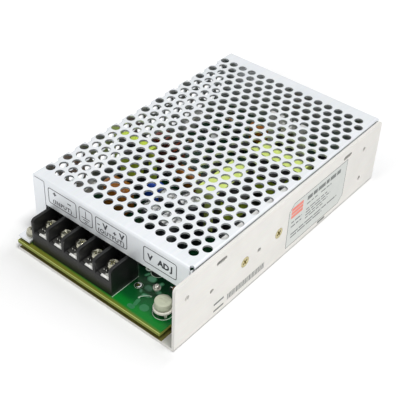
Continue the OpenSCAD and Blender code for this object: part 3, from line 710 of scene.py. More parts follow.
@dataclass(frozen=True)
class PlatedMetal(Finish):
    """Plated hardware: a bright skin with a faint mottle and dull spots in its gloss."""

    shade: str = "8E8C86"
    # Real spots are some tenths of a millimetre: drawn coarser, so that they show
    spot: float = 0.9
    dull: float = 0.12

    def paint(self, tree: bpy.types.NodeTree, place: bpy.types.NodeSocket) -> Feeds:
        """Draws the mottle in the colour and the gloss.

        Args:
            tree: The material's tree.
            place: The surface's place in the part's frame, in metres.

        Returns:
            What feeds the shader's inputs, by their names.
        """
        spots = add_node(tree, "TexNoise", None, {0: place, "Scale": per_mm(self.spot), "Detail": 3.0})
        gloss = add_node(tree, "MapRange", None, {
            0: spots.outputs["Fac"], 1: 0.3, 2: 0.75, 3: self.roughness - self.dull / 3,
            4: self.roughness + self.dull})
        return {"Base Color": self.mottled(tree, spots.outputs["Fac"], 0.45, 0.75, 0.6),
                "Roughness": gloss.outputs[0]}


@dataclass(frozen=True)
class Moulding(Finish):
    """Moulded or cast plastic: a fine spark-eroded grain, and a little cloudiness in the colour."""

    shade: str = "2A2A2C"
    # Real grain is about 0.04 mm: drawn coarser, so that it shows
    grit: float = 0.22
    cloud: float = 5.0
    relief: float = 0.12

    def paint(self, tree: bpy.types.NodeTree, place: bpy.types.NodeSocket) -> Feeds:
        """Draws the grain in the relief and the gloss, and the clouds in the colour.

        Args:
            tree: The material's tree.
            place: The surface's place in the part's frame, in metres.

        Returns:
            What feeds the shader's inputs, by their names.
        """
        grain = add_node(tree, "TexNoise", None, {0: place, "Scale": per_mm(self.grit), "Detail": 2.0})
        clouds = add_node(tree, "TexNoise", None, {0: place, "Scale": per_mm(self.cloud), "Detail": 2.0})
        gloss = add_node(tree, "MapRange", None, {
            0: grain.outputs["Fac"], 1: 0.3, 2: 0.7, 3: self.roughness - 0.05, 4: self.roughness + 0.08})
        bump = add_node(tree, "Bump", None, {
            "Strength": self.relief, "Distance": 0.03 * MM, "Height": grain.outputs["Fac"]})
        return {"Base Color": self.mottled(tree, clouds.outputs["Fac"], 0.35, 0.7, 0.5),
                "Roughness": gloss.outputs[0], "Normal": bump.outputs[0]}


@dataclass(frozen=True)
class SolderMask(Finish):
    """Glass-epoxy board: glossy green mask over copper areas, a yellow-green sawn edge, painted light near
    the front, a painted glow and painted highlight along the front edge, and painted shade further in, under
    the cover."""

    specular: float = 0.3
    copper: str = "2E9A40"
    pour: float = 11.0
    weave: float = 0.5
    edge: str = "8A9340"
    edge_roughness: float = 0.75
    front: float = -79.5
    # Painted highlight: a pale yellow-green line along the front edge
    rim: str = "CCD684"
    # Painted glow: an olive band that stands for light inside the laminate, and how far from the front edge
    # it reaches
    olive: str = "74762A"
    glow: float = 3.0
    # Painted light: a paler green over the open bay near the front, and how these bands slant across the
    # board
    lit: str = "0C7A28"
    slant: float = 0.025
    # Painted shade: a darker green from this line back, under the cover
    painted_shade_from: float = -60.0
    deep: str = "06301A"

    def paint(self, tree: bpy.types.NodeTree, place: bpy.types.NodeSocket) -> Feeds:
        """Draws copper areas under the mask, the painted light, glow and highlight at the front edge, the
        painted shade further in, a fine weave, and the sawn edge by the face's direction.

        Args:
            tree: The material's tree.
            place: The surface's place in the part's frame, in metres.

        Returns:
            What feeds the shader's inputs, by their names.
        """
        cells = add_node(tree, "TexVoronoi", {"feature": "F1", "distance": "CHEBYCHEV"}, {
            "Vector": place, "Scale": per_mm(self.pour), "Randomness": 0.85})
        share = add_node(tree, "SeparateColor", None, {0: cells.outputs["Color"]})
        tone = add_node(tree, "Mix", {"data_type": "RGBA"}, {
            0: add_node(tree, "MapRange", None, {0: share.outputs[0], 1: 0.1, 2: 0.9}).outputs[0],
            6: linear(self.colour), 7: linear(self.copper)})
        spot = add_node(tree, "SeparateXYZ", None, {0: place})
        along = spot.outputs["Y"]
        slanted = add_node(tree, "Math", {"operation": "MULTIPLY_ADD"}, {
            0: spot.outputs["X"], 1: self.slant, 2: along}).outputs[0]
        # Painted light near the front, painted glow and painted highlight at the edge, painted shade under
        # the cover
        for run, start, full, colour in (
                (slanted, self.front + 9.0, self.front + 4.5, self.lit),
                (slanted, self.front + self.glow, self.front + 0.6, self.olive),
                (along, self.front + 0.4, self.front + 0.15, self.rim),
                (along, self.painted_shade_from - 3, self.painted_shade_from + 3, self.deep)):
            share = add_node(tree, "MapRange", {"interpolation_type": "SMOOTHSTEP"}, {
                0: run, 1: start * MM, 2: full * MM})
            tone = add_node(tree, "Mix", {"data_type": "RGBA"}, {
                0: share.outputs[0], 6: tone.outputs[2], 7: linear(colour)})
        weave = add_node(tree, "TexNoise", None, {0: place, "Scale": per_mm(self.weave), "Detail": 1.0})
        facing = add_node(tree, "SeparateXYZ", None, {0: add_node(tree, "TexCoord").outputs["Normal"]})
        flat = add_node(tree, "Math", {"operation": "ABSOLUTE"}, {0: facing.outputs["Z"]})
        side = add_node(tree, "MapRange", None, {0: flat.outputs[0], 1: 0.4, 2: 0.6, 3: 1.0, 4: 0.0})
        whole = add_node(tree, "Mix", {"data_type": "RGBA"}, {
            0: side.outputs[0], 6: tone.outputs[2], 7: linear(self.edge)})
        gloss = add_node(tree, "MapRange", None, {
            0: side.outputs[0], 3: self.roughness, 4: self.edge_roughness})
        bump = add_node(tree, "Bump", None, {
            "Strength": 0.08, "Distance": 0.02 * MM, "Height": weave.outputs["Fac"]})
        return {"Base Color": whole.outputs[2], "Roughness": gloss.outputs[0], "Normal": bump.outputs[0]}


@dataclass(frozen=True)
class LappedTape(Finish):
    """Polyester film tape: glossy, with a step at each lap and a paler, stretched edge."""

    shade: str = "9FB52A"
    lap: float = 5.0
    wrinkle: float = 3.0

    def paint(self, tree: bpy.types.NodeTree, place: bpy.types.NodeSocket) -> Feeds:
        """Draws the laps in the colour and the relief, and wrinkles in the relief.

        Args:
            tree: The material's tree.
            place: The surface's place in the part's frame, in metres.

        Returns:
            What feeds the shader's inputs, by their names.
        """
        # Blender's wave makes one band in pi / 10 of a unit
        laps = add_node(tree, "TexWave", {"bands_direction": "Z", "wave_profile": "SAW"}, {
            "Vector": place, "Scale": per_mm(self.lap) * math.pi / 10, "Distortion": 0.4,
            "Detail": 1.0, "Detail Scale": 0.6})
        wrinkles = add_node(tree, "TexNoise", None, {0: place, "Scale": per_mm(self.wrinkle), "Detail": 2.0})
        height = add_node(tree, "Math", {"operation": "ADD"}, {
            0: laps.outputs["Fac"], 1: wrinkles.outputs["Fac"]})
        bump = add_node(tree, "Bump", None, {
            "Strength": 0.25, "Distance": 0.1 * MM, "Height": height.outputs[0]})
        return {"Base Color": self.mottled(tree, laps.outputs["Fac"], 0.0, 1.0, 0.7),
                "Normal": bump.outputs[0]}


@dataclass(frozen=True)
class WoundWire(Finish):
    """Enamelled copper wire, glossy and deep, each turn dark where it meets the next."""

    shade: str = "3A1408"
    depth: float = 1.6

    def paint(self, tree: bpy.types.NodeTree, place: bpy.types.NodeSocket) -> Feeds:
        """Draws the enamel's uneven depth in the colour.

        Args:
            tree: The material's tree.
            place: The surface's place in the part's frame, in metres.

        Returns:
            What feeds the shader's inputs, by their names.
        """
        depth = add_node(tree, "TexNoise", None, {0: place, "Scale": per_mm(self.depth), "Detail": 2.0})
        return {"Base Color": self.mottled(tree, depth.outputs["Fac"], 0.35, 0.7)}


@dataclass(frozen=True)
class DippedCoat(Finish):
    """Dipped epoxy or lacquer: thick, glossy, with an orange-peel skin and a few darker runs."""

    shade: str = "3C1B08"
    peel: float = 0.8
    runs: float = 4.0

    def paint(self, tree: bpy.types.NodeTree, place: bpy.types.NodeSocket) -> Feeds:
        """Draws the runs in the colour and the peel in the relief.

        Args:
            tree: The material's tree.
            place: The surface's place in the part's frame, in metres.

        Returns:
            What feeds the shader's inputs, by their names.
        """
        runs = add_node(tree, "TexNoise", None, {0: place, "Scale": per_mm(self.runs), "Detail": 2.0})
        peel = add_node(tree, "TexNoise", None, {0: place, "Scale": per_mm(self.peel)})
        bump = add_node(tree, "Bump", None, {
            "Strength": 0.15, "Distance": 0.06 * MM, "Height": peel.outputs["Fac"]})
        return {"Base Color": self.mottled(tree, runs.outputs["Fac"], 0.4, 0.75, 0.7),
                "Normal": bump.outputs[0]}


@dataclass(frozen=True)
class CappedBody(Finish):
    """A moulded or ceramic body between tinned ends, told apart by its place along one axis."""

    axis: str = "Z"
    low: float = 0.0
    high: float = 0.0
    cap: str = "CFCFCA"
    cap_roughness: float = 0.25
    # Real grain is finer: drawn coarser, so that it shows
    grit: float = 0.3

    def paint(self, tree: bpy.types.NodeTree, place: bpy.types.NodeSocket) -> Feeds:
        """Draws the bright ends in the colour, the metal and the gloss, and a fine grain on the body.

        Args:
            tree: The material's tree.
            place: The surface's place in the part's frame, in metres.

        Returns:
            What feeds the shader's inputs, by their names.
        """
        spot = add_node(tree, "SeparateXYZ", None, {0: place})
        middle = (self.low + self.high) / 2 * MM
        off = add_node(tree, "Math", {"operation": "SUBTRACT"}, {0: spot.outputs[self.axis], 1: middle})
        away = add_node(tree, "Math", {"operation": "ABSOLUTE"}, {0: off.outputs[0]})
        ends = add_node(tree, "Math", {"operation": "GREATER_THAN"}, {
            0: away.outputs[0], 1: (self.high - self.low) / 2 * MM})
        grain = add_node(tree, "TexNoise", None, {0: place, "Scale": per_mm(self.grit), "Detail": 2.0})
        tone = add_node(tree, "Mix", {"data_type": "RGBA"}, {
            0: ends.outputs[0], 6: linear(self.colour), 7: linear(self.cap)})
        gloss = add_node(tree, "MapRange", None, {
            0: ends.outputs[0], 3: self.roughness, 4: self.cap_roughness})
        bump = add_node(tree, "Bump", None, {
            "Strength": 0.1, "Distance": 0.03 * MM, "Height": grain.outputs["Fac"]})
        return {"Base Color": tone.outputs[2], "Metallic": ends.outputs[0], "Roughness": gloss.outputs[0],
                "Normal": bump.outputs[0]}


# Rolled aluminium with a satin skin: even, warm white, with hardly a highlight
BRACKET = RolledSheet("satin_rolled_aluminium", "EDEBE6", 0.42, 0.3, shade="E2E0DB")
# Zinc over rolled steel: cool white where it faces the light, grey where it faces down
COVER = RolledSheet("zinc_plated_rolled_steel", "E9ECEF", 0.48, 1.0, shade="E0E4E7")
# Extruded aluminium: pale and matt, the brightest thing under the holes
SPREADER = RolledSheet("extruded_aluminium", "F0F0EE", 0.45, 0.2, shade="E6E6E3")
# Nickel on steel: warm grey, with a soft gleam
STEEL = PlatedMetal("nickel_plated_steel", "BEBAAA", 0.2, 1.0)
# Tin straight from the bath: white and sharp in its highlights
TIN = PlatedMetal("bright_tin", "E8E8E6", 0.12, 1.0, shade="B8B8B4")
# Tinned brass, rolled: a mirror of the barriers with bright glints, its colour darker than the tin as
# painted shade
CONTACT = PlatedMetal("rolled_tinned_brass_painted_shade", "A6A6A0", 0.07, 1.0, spot=2.5, shade="94948E", dull=0.03)
# The contact's sheared and tumbled lip: matt, and a near-white copy of the tin as painted highlight
LIP = PlatedMetal("matt_tinned_brass_painted_highlight", "F6F6F2", 0.4, 0.25, spot=1.5, shade="F0F0EC")
# Bright nickel on a headed screw: hard light and dark from the flutes of the cross
SCREW = PlatedMetal("bright_nickel_over_steel", "B6B4A4", 0.1, 1.0, shade="84826E", dull=0.08)
# Tinned wire under lacquer, tinted green as a painted reflection of the board
LINK_WIRE = PlatedMetal("lacquered_tinned_wire_painted_green", "A6C0AA", 0.4, 0.6, shade="8CA890")
# Yellow passivate on zinc: straw with a metallic gleam, darker in its spots
YELLOW_ZINC = PlatedMetal("yellow_passivated_zinc", "BDB386", 0.2, 1.0, shade="8C845C")
# Mask on glass epoxy: glossy green, with a yellow-green sawn edge, and painted light, glow and shade in its
# green
BOARD = SolderMask("green_solder_mask_on_glass_epoxy", "075022", 0.22, copper="0C5E2A")
# Glass-filled thermoplastic, moulded: black with a dull grey sheen
BLACK = Moulding("black_glass_filled_thermoplastic", "0B0B0C", 0.45, shade="101011", specular=0.42)
# Nylon, moulded: a warm white that stays soft
PIVOT = Moulding("white_nylon", "E9E6DC", 0.4, shade="DAD6C8")
# Polyacetal, moulded: cream with a greenish cast, nearly matt
KNOB = Moulding("cream_polyacetal", "C8CCB4", 0.45, shade="BEC2AA")
# Clear epoxy cast over a silvered cup: it looks white, with a hard glint
LENS = Moulding("silvered_epoxy_lens", "FAF7EE", 0.16, 0.5, shade="F2EEE0")
# Phenolic, moulded: brown-black and dull
BOBBIN = Moulding("black_phenolic_moulding", "1D1C1B", 0.5, shade="2A2826")
# Ferrite, ground: charcoal, with a faint sparkle in the gloss
FERRITE = Moulding("ground_manganese_zinc_ferrite", "2C2C2E", 0.45, shade="3A3A3C")
# Polyester tape round a core: pale lime, glossy, stepped at its laps
CORE_TAPE = LappedTape("lime_polyester_tape", "E0F08A", 0.25, shade="D0E272")
# Polyester tape over a winding: stronger lime, glossy
COIL_TAPE = LappedTape("lime_polyester_winding_tape", "CCE24A", 0.28, shade="B0CA34")
# Enamelled copper: deep red-brown under a clear gloss
COPPER = WoundWire("red_enamelled_copper_wire", "8A3A1C", 0.3)
# Vulcanised fibre, pressed: olive brown and dry; as the strip under the board's front edge it is painted
# shade
FIBRE_AND_GAP_SHADE = Moulding("vulcanised_fibre_and_painted_gap_shade", "66601F", 0.7, shade="544C1A")
# Filled silicone, calendered: matt blue-grey
PAD = Moulding("grey_silicone_pad", "A2AAB0", 0.7, shade="949CA2")
# Epoxy, transfer moulded: near black, dull
DEVICE = Moulding("moulded_epoxy_device", "1E1E1F", 0.5, shade="2B2B2C")
# Shrunk sleeve: black, with a plain gloss
SLEEVE = Moulding("shrunk_black_sleeve", "17191D", 0.3, shade="20232A")
# Dipped epoxy: orange-brown and glossy, darker in its runs
FILM = DippedCoat("brown_dipped_epoxy", "BC7420", 0.25, shade="8A4A14")
# Dipped epoxy: strong blue and glossy
DISC = DippedCoat("blue_dipped_epoxy", "3268E8", 0.25, shade="2450C0")
# Lacquer on a resistor: beige, with a soft gloss
RESISTOR = DippedCoat("beige_resistor_lacquer", "C9AE7C", 0.35, shade="A88C5C")
# Phenolic paper, punched: red-brown
TRACK = Moulding("brown_phenolic_track", "6B3A22", 0.45, shade="4E2A18")
# Copper seen through the mask: a paler, bluer green, made paler still as painted light for the areas in the
# flange's shade
MASKED_COPPER = Moulding("green_mask_over_copper", "5C9C78", 0.3, shade="6CAA88")
# The soft edge of such an area: halfway to the mask's own green
MASKED_HAZE = Moulding("green_mask_over_copper_edge", "2C7648", 0.3, shade="387E52")
# Screen print on the board: a thin white that lets some green through
WHITE_INK = Moulding("white_component_print", "D8E2D6", 0.5, shade="B8CCB8")
# Screen print on the flange: charcoal, matt
INK = Moulding("dark_grey_screen_print", "303338", 0.5, shade="3C3F44")
# Screen print on the wall: mid grey, matt
GREY_INK = Moulding("grey_screen_print", "6E7270", 0.5, shade="848886")
# Label film: cool pale grey against the warm wall
LABEL = Moulding("pale_label_film", "D8DBD7", 0.45, shade="D0D4D0")
# Printed blocks: soft coral
CORAL = Moulding("coral_print", "EE7D6C", 0.45, shade="F09484")
# Painted shade on the ends of the cover's tabs, which sit recessed in the wall's slots: dark grey and dull
PAINTED_TAB_SHADE = PlatedMetal("tab_end_painted_shade", "4C4C4A", 0.55, 0.4, spot=0.8, shade="343432")
# Drawn aluminium: a bright mirror with a dull bloom
CAN_TOP = PlatedMetal("bare_aluminium_can_top", "E6E7E6", 0.16, 1.0, shade="C9CAC8")
# Painted bands: plain lacquer colours with a low gloss
BAND_BROWN = Moulding("brown_band_lacquer", "6A3A1E", 0.4, shade="5A3018")
BAND_BLACK = Moulding("black_band_lacquer", "1C1A18", 0.4, shade="262422")
BAND_RED = Moulding("red_band_lacquer", "B03022", 0.4, shade="98281C")
# Epoxy bodies with tinned ends: dull black beside bright metal
POWER_BODY = CappedBody("moulded_power_device", "1E1E1F", 0.5, low=10.6, high=19.8)
CHIP_BODY = CappedBody("moulded_chip", "202022", 0.5, low=6.2, high=30.0)
# Glazed ceramic with pressed caps: cream beside bright metal
FUSE_TUBE = CappedBody("glazed_ceramic_fuse_tube", "DCCFB0", 0.3, axis="X", low=-32.5, high=-22.5)

NODE_FINISHES: dict[Finish, tuple[str, ...]] = {
    BRACKET: ("base_bracket",),
    COVER: ("top_cover",),
    SPREADER: ("heat_spreader", "rear_heat_sink"),
    STEEL: ("cover_screws", "board_standoffs", "device_screws", "rear_device_screw"),
    YELLOW_ZINC: ("wall_screws",),
    FIBRE_AND_GAP_SHADE: ("insulation_sheet",),
    BOARD: ("circuit_board",),
    BOBBIN: ("transformer_bobbin", "choke_bobbin", "filter_bobbin"),
    FERRITE: ("transformer_core", "choke_core", "filter_core", "ring_choke_core", "drum_choke"),
    COIL_TAPE: ("transformer_winding", "choke_winding", "filter_winding", "filter_tape"),
    CORE_TAPE: ("transformer_tape", "choke_tape"),
    PAD: ("spreader_pad",),
    POWER_BODY: ("power_devices", "rear_device"),
    CHIP_BODY: ("control_chips",),
    FUSE_TUBE: ("fuse",),
}


def cross_recess(head: bpy.types.Object, reach: float, width: float, depth: float, top: float) -> None:
    """Sinks a tapered cross into a screw head that stands at the origin.

    Args:
        head: The turned screw.
        reach: Half the length of the cross.
        width: Width of its arms.
        depth: Depth under the crown.
        top: Height of the head's crown.
    """
    for turn in (0, 90):
        arm = Bench.block("arm", (-reach, -width / 2, top - depth), (reach, width / 2, top + 0.5))
        with Bench.editing(arm):
            Bench.pick(arm, Elements.FACES, lambda mid, normal: normal.z < -0.9)
            bpy.ops.transform.resize(value=(0.45, 0.55, 1), center_override=(0, 0, (top - depth) * MM))
        Bench.carve(head, Bench.place(arm, "arm", turn=turn))


@dataclass
class TerminalStrip:
    """Five-pole barrier strip: its moulding, the contacts, the clamping plates and their screws."""

    left: float = -40.5
    pitch: float = 9.8
    barrier: float = 1.6
    poles: int = 5
    front: float = -77.0
    rear: float = -60.0
    board: float = BOARD_TOP
    seat: float = 13.6
    top: float = 21.3
    corner: float = 1.7
    screw_y: float = -69.8
    plate_z: float = 14.4
    plate: Point = (7.0, 8.4, 0.9)
    head_z: float = 15.3
    head: Pair = (3.0, 2.4)
    bore: float = 1.79
    # Radius and depth of a screw well
    well: Pair = (2.8, 5.8)
    # Half width, front, rear and thickness of a contact
    contact: tuple[float, float, float, float] = (3.6, -5.75, 6.6, 0.8)
    # Radius and depth of a contact's threaded collar
    collar: Pair = (2.5, 3.8)
    # Left side, front and fall of a contact's lip
    lip: Point = (-1.3, -6.7, 0.22)
    # Corner radius of a clamping plate, and width and depth of its sunk face
    plate_corner: float = 0.9
    plate_face: Pair = (1.1, 0.12)
    # Half width, half depth and height of a tooth, and its setback from the plate's end
    tooth: tuple[float, float, float, float] = (0.34, 0.38, 0.4, 0.45)
    front_teeth: tuple[float, ...] = (-1.6, -0.2)
    rear_teeth: tuple[float, ...] = (-2.5, -1.5, -0.5, 0.5, 1.5, 2.5)
    # Root and crest radius, lower end and pitch of the thread, and its turns
    thread: tuple[float, float, float, float] = (1.42, 1.68, -6.1, 0.6)
    thread_turns: int = 7
    # Half length, arm width and depth of the cross
    cross: Point = (2.1, 1.0, 1.5)
    # How far each screw happens to be turned
    turns: tuple[float, ...] = (18.0, 52.0, 71.0, 33.0, 6.0)

    def build(self) -> None:
        """Makes the moulding, the contacts, the plates and the screws."""
        self.moulding()
        self.contacts()
        self.plates()
        self.screws()

    def pole_x(self, pole: int) -> float:
        """Gives the middle of a pole, counted from 0 at the left."""
        return self.left + self.barrier / 2 + (pole + 0.5) * self.pitch

    def on_barrier(self, x: float) -> bool:
        """Tells whether a place across the strip lies in a barrier."""
        return (x - self.left) % self.pitch < self.barrier

    def moulding(self) -> None:
        """Raises the barriers and the rear wall from a block, and sinks the screw wells."""
        rear_wall = self.rear - self.barrier
        shoulder = self.top - self.corner
        right = self.left + self.poles * self.pitch + self.barrier
        body = Bench.block("terminal_block_moulding", (self.left, self.front, self.board),
                           (right, self.rear, self.seat))
        sides = [self.left + pole * self.pitch + side
                 for pole in range(self.poles + 1) for side in (0, self.barrier)][1:-1]
        with Bench.editing(body):
            for x in sides:
                bpy.ops.mesh.select_all(action="SELECT")
                bpy.ops.mesh.bisect(plane_co=(x * MM, 0, 0), plane_no=(1, 0, 0))
            bpy.ops.mesh.select_all(action="SELECT")
            bpy.ops.mesh.bisect(plane_co=(0, rear_wall * MM, 0), plane_no=(0, 1, 0))
            Bench.pick(body, Elements.FACES, lambda mid, normal: normal.z > 0.9
                       and (self.on_barrier(mid.x) or mid.y > rear_wall))
            Bench.extrude((0, 0, shoulder - self.seat))
            Bench.pick(body, Elements.FACES, lambda mid, normal: normal.z > 0.9
                       and mid.z > shoulder - 0.1 and self.on_barrier(mid.x))
            Bench.extrude((0, 0, self.corner))
            Bench.pick(body, Elements.EDGES, lambda mid, run: abs(run.x) > 0.9
                       and mid.y < self.front + 0.1 and mid.z > self.top - 0.1)
            bpy.ops.mesh.bevel(offset=self.corner * MM, segments=3, profile=0.4, affect="EDGES")
        Bench.round_edges(body, 0.16)
        wide, deep = self.well
        wells = [Bench.lathe(f"well_{pole}", (self.pole_x(pole), self.screw_y, self.seat),
                             ((wide, -deep), (wide, 1.0))) for pole in range(self.poles)]
        Bench.carve(body, *wells)
        mount(BLACK.dress(body), "root", "terminal_moulding", "terminal_block")

    def contacts(self) -> None:
        """Models one contact plate with a matt front lip, whitened as a painted highlight, and a threaded
        collar, and copies it.
        """
        half, front, rear, thick = self.contact
        plate = Bench.round_edges(Bench.block("contact", (-half, front, -thick), (half, rear, 0)), 0.06)
        wide, deep = self.collar
        collar = Bench.lathe("collar", (0, 0, 0), ((wide - 0.2, -deep), (wide, 0.2 - deep), (wide, -0.4)))
        for part in (plate, collar):
            Bench.carve(part, Bench.lathe("bore", (0, 0, 0), ((self.bore, -5), (self.bore, 1))))
            CONTACT.dress(part)
        lip = Bench.block("lip", (self.lip[0], self.lip[1], -thick), (half, front, 0))
        with Bench.editing(lip):
            Bench.pick(lip, Elements.EDGES, lambda mid, run: abs(run.x) > 0.9 and mid.y < front - 0.2
                       and mid.z > -0.1)
            bpy.ops.transform.translate(value=(0, 0, -self.lip[2] * MM))
        LIP.dress(Bench.round_edges(lip, 0.06))
        model = Bench.join("contact", plate, collar, lip)
        spots = [((self.pole_x(pole), self.screw_y, self.plate_z), 0.0) for pole in range(self.poles)]
        mount(Bench.spread(model, "contact_plates", spots), "root", "tinned_contact", "terminal_contacts")

    def plates(self) -> None:
        """Models one clamping plate with its toothed ends, and stands it on each pole."""
        wide, long, thick = self.plate
        body = Bench.block("plate", (-wide / 2, -long / 2, 0), (wide / 2, long / 2, thick))
        with Bench.editing(body):
            Bench.pick(body, Elements.EDGES, lambda mid, run: abs(run.z) > 0.9)
            bpy.ops.mesh.bevel(offset=self.plate_corner * MM, segments=3, affect="EDGES")
            Bench.pick(body, Elements.FACES, lambda mid, normal: normal.z > 0.9)
            bpy.ops.mesh.inset(thickness=self.plate_face[0] * MM, depth=-self.plate_face[1] * MM)
        Bench.round_edges(body, 0.06)
        Bench.carve(body, Bench.lathe("bore", (0, 0, 0), ((self.bore, -1), (self.bore, 2))))
        half, deep, rise, setback = self.tooth
        tip, edge = thick + rise, long / 2 - setback
        teeth = []
        for x, y in [(x, -edge) for x in self.front_teeth] + [(x, edge) for x in self.rear_teeth]:
            tooth = Bench.block("tooth", (x - half, y - deep, thick - 0.2), (x + half, y + deep, tip))
            with Bench.editing(tooth):
                Bench.pick(tooth, Elements.FACES, lambda mid, normal: normal.z > 0.9)
                bpy.ops.transform.resize(value=(0.4, 0.5, 1), center_override=(x * MM, y * MM, tip * MM))
            teeth.append(tooth)
        model = Bench.join("plate", body, *teeth)
        # The plates take the contacts' darker tin, as painted shade
        CONTACT.dress(model)
        for pole in range(self.poles):
            copy = Bench.stand(model, f"clamping_plate_{pole + 1}",
                               (self.pole_x(pole), self.screw_y, self.plate_z))
            mount(copy, f"clamp_{pole + 1}", "terminal_nickel", f"terminal_clamp_{pole + 1}")
        bpy.data.objects.remove(model)

    def screws(self) -> None:
        """Models one cross-head screw with a thread and a captive washer, and stands it on each pole."""
        radius, height = self.head
        root, crest, start, pitch = self.thread
        rings = [(1.1, -6.5), (root, -6.25)]
        for step in range(self.thread_turns):
            low = start + step * pitch
            rings += [(root, low), (crest, low + 0.18), (crest, low + 0.28), (root, low + 0.46)]
        rings += [(1.55, -1.6), (1.55, 0), (radius - 0.2, 0), (radius - 0.06, 0.08), (radius - 0.06, 0.36),
                  (radius - 0.35, 0.4), (radius - 0.35, 0.46), (radius, 0.5), (radius, 0.88)]
        rings += [(radius, 1.5), (radius - 0.12, 1.9), (radius - 0.42, 2.22), (radius - 0.8, height - 0.04),
                  (radius - 1.1, height), (radius - 1.25, height), (0.12, height)]
        model = Bench.smooth(Bench.lathe("screw", (0, 0, 0), rings))
        cross_recess(model, *self.cross, height)
        SCREW.dress(Bench.round_edges(model, 0.05))
        for pole in range(self.poles):
            copy = Bench.stand(model, f"cross_head_screw_{pole + 1}",
                               (self.pole_x(pole), self.screw_y, self.head_z), self.turns[pole])
            mount(copy, f"screw_{pole + 1}", "terminal_nickel", f"terminal_screw_{pole + 1}")
        bpy.data.objects.remove(model)


@dataclass
class Trimmer:
    """Output trimmer: a nylon carrier on three legs, its track and springs, and the knob."""

    middle: Pair = (33.1, -69.1)
    board: float = BOARD_TOP
    ring_low: float = 8.0
    ring_top: float = 9.15
    ring: float = 4.55
    pivot: Pair = (1.5, 11.5)
    # Radius, foot and top of the knob
    knob: Point = (3.85, 9.6, 13.0)
    # Half length, half width and depth of the adjusting slot
    slot: Point = (2.2, 0.18, 0.2)
    # Inner and outer side and half width of a leg and of a spring, and where they stand round the pivot
    leg: Point = (2.65, 3.85, 0.6)
    leg_turns: tuple[float, ...] = (90.0, 210.0, 330.0)
    spring: Point = (2.75, 3.0, 0.75)
    spring_turns: tuple[float, ...] = (20.0, 150.0, 265.0)

    def build(self) -> None:
        """Makes the carrier and the knob."""
        self.carrier()
        self.cap()

    def carrier(self) -> None:
        """Turns the carrier's ring and pivot, and adds its legs, rim, track and springs."""
        x, y = self.middle
        ring = Bench.lathe("ring", (x, y, 0), (
            (4.1, self.ring_low), (self.ring, self.ring_low + 0.15), (self.ring, self.ring_top - 0.3),
            (self.ring - 0.15, self.ring_top - 0.05), (self.ring - 0.7, self.ring_top),
            (self.pivot[0], self.ring_top), (self.pivot[0], self.pivot[1] - 0.2),
            (self.pivot[0] - 0.2, self.pivot[1])), segments=40)
        near, far, half = self.leg
        leg = Bench.block("leg", (near, -half, self.board), (far, half, self.ring_low + 0.1))
        legs = Bench.spread(Bench.round_edges(leg, 0.15), "legs",
                            [((x, y, 0), turn) for turn in self.leg_turns])
        frame_piece = Bench.smooth(Bench.join("trimmer_carrier", ring, legs))
        mount(PIVOT.dress(frame_piece), "root", "trimmer_moulding", "trimmer_frame")
        track = Bench.smooth(Bench.lathe("trimmer_track", (x, y, 0), (
            (2.3, self.board), (2.5, self.board + 0.3), (2.5, self.board + 1.6), (2.05, self.board + 1.8),
            (2.05, self.ring_low))))
        mount(TRACK.dress(track), "root", "trimmer_moulding")
        near, far, half = self.spring
        spring = Bench.block("spring", (near, -half, self.board), (far, half, self.ring_low - 0.6))
        with Bench.editing(spring):
            Bench.pick(spring, Elements.FACES, lambda mid, normal: normal.z > 0.9)
            Bench.extrude((0.7, 0, 0.5))
        springs = Bench.spread(Bench.round_edges(spring, 0.06), "trimmer_springs",
                               [((x, y, 0), turn) for turn in self.spring_turns])
        mount(TIN.dress(springs), "root", "trimmer_moulding")

    def cap(self) -> None:
        """Turns the knob with its rounded rim, and cuts the bore and a shallow adjusting slot."""
        x, y = self.middle
        radius, low, top = self.knob
        knob = Bench.smooth(Bench.lathe("trimmer_cap", (x, y, 0), (
            (radius - 0.25, low), (radius, low + 0.2), (radius, top - 0.4), (radius - 0.1, top - 0.15),
            (radius - 0.35, top), (radius - 0.9, top), (radius - 1.1, top - 0.06)), segments=48))
        hole = self.pivot[0] + 0.08
        bore = Bench.lathe("bore", (x, y, 0), ((hole, low - 1), (hole, low + 2)))
        long, wide, deep = self.slot
        slot = Bench.block("slot", (x - long, y - wide, top - deep), (x + long, y + wide, top + 1))
        Bench.carve(knob, bore, slot)
        mount(KNOB.dress(knob), "knob", "trimmer_cap", "trimmer_knob")


@dataclass
class Lamp:
    """Round indicator lamp: a cast lens with its collar."""

    middle: Pair = (21.7, -60.3)
    board: float = BOARD_TOP
    radius: float = 1.5
    height: float = 2.6
    # Radius and height of the collar
    collar: Pair = (1.9, 1.0)

    def build(self) -> None:
        """Turns the lens with its domed top."""
        x, y = self.middle
        crown = self.height - self.radius
        dome = [(self.radius * math.cos(a), crown + self.radius * math.sin(a))
                for a in (0.0, 0.3, 0.6, 0.9, 1.2, 1.45)]
        wide, tall = self.collar
        lens = Bench.smooth(Bench.lathe("lamp_lens", (x, y, self.board), (
            (wide - 0.15, 0.0), (wide, 0.12), (wide, tall - 0.15), (wide - 0.1, tall), (self.radius, tall),
            *dome)))
        mount(LENS.dress(lens), "root", "lamp_lens", "indicator_led")


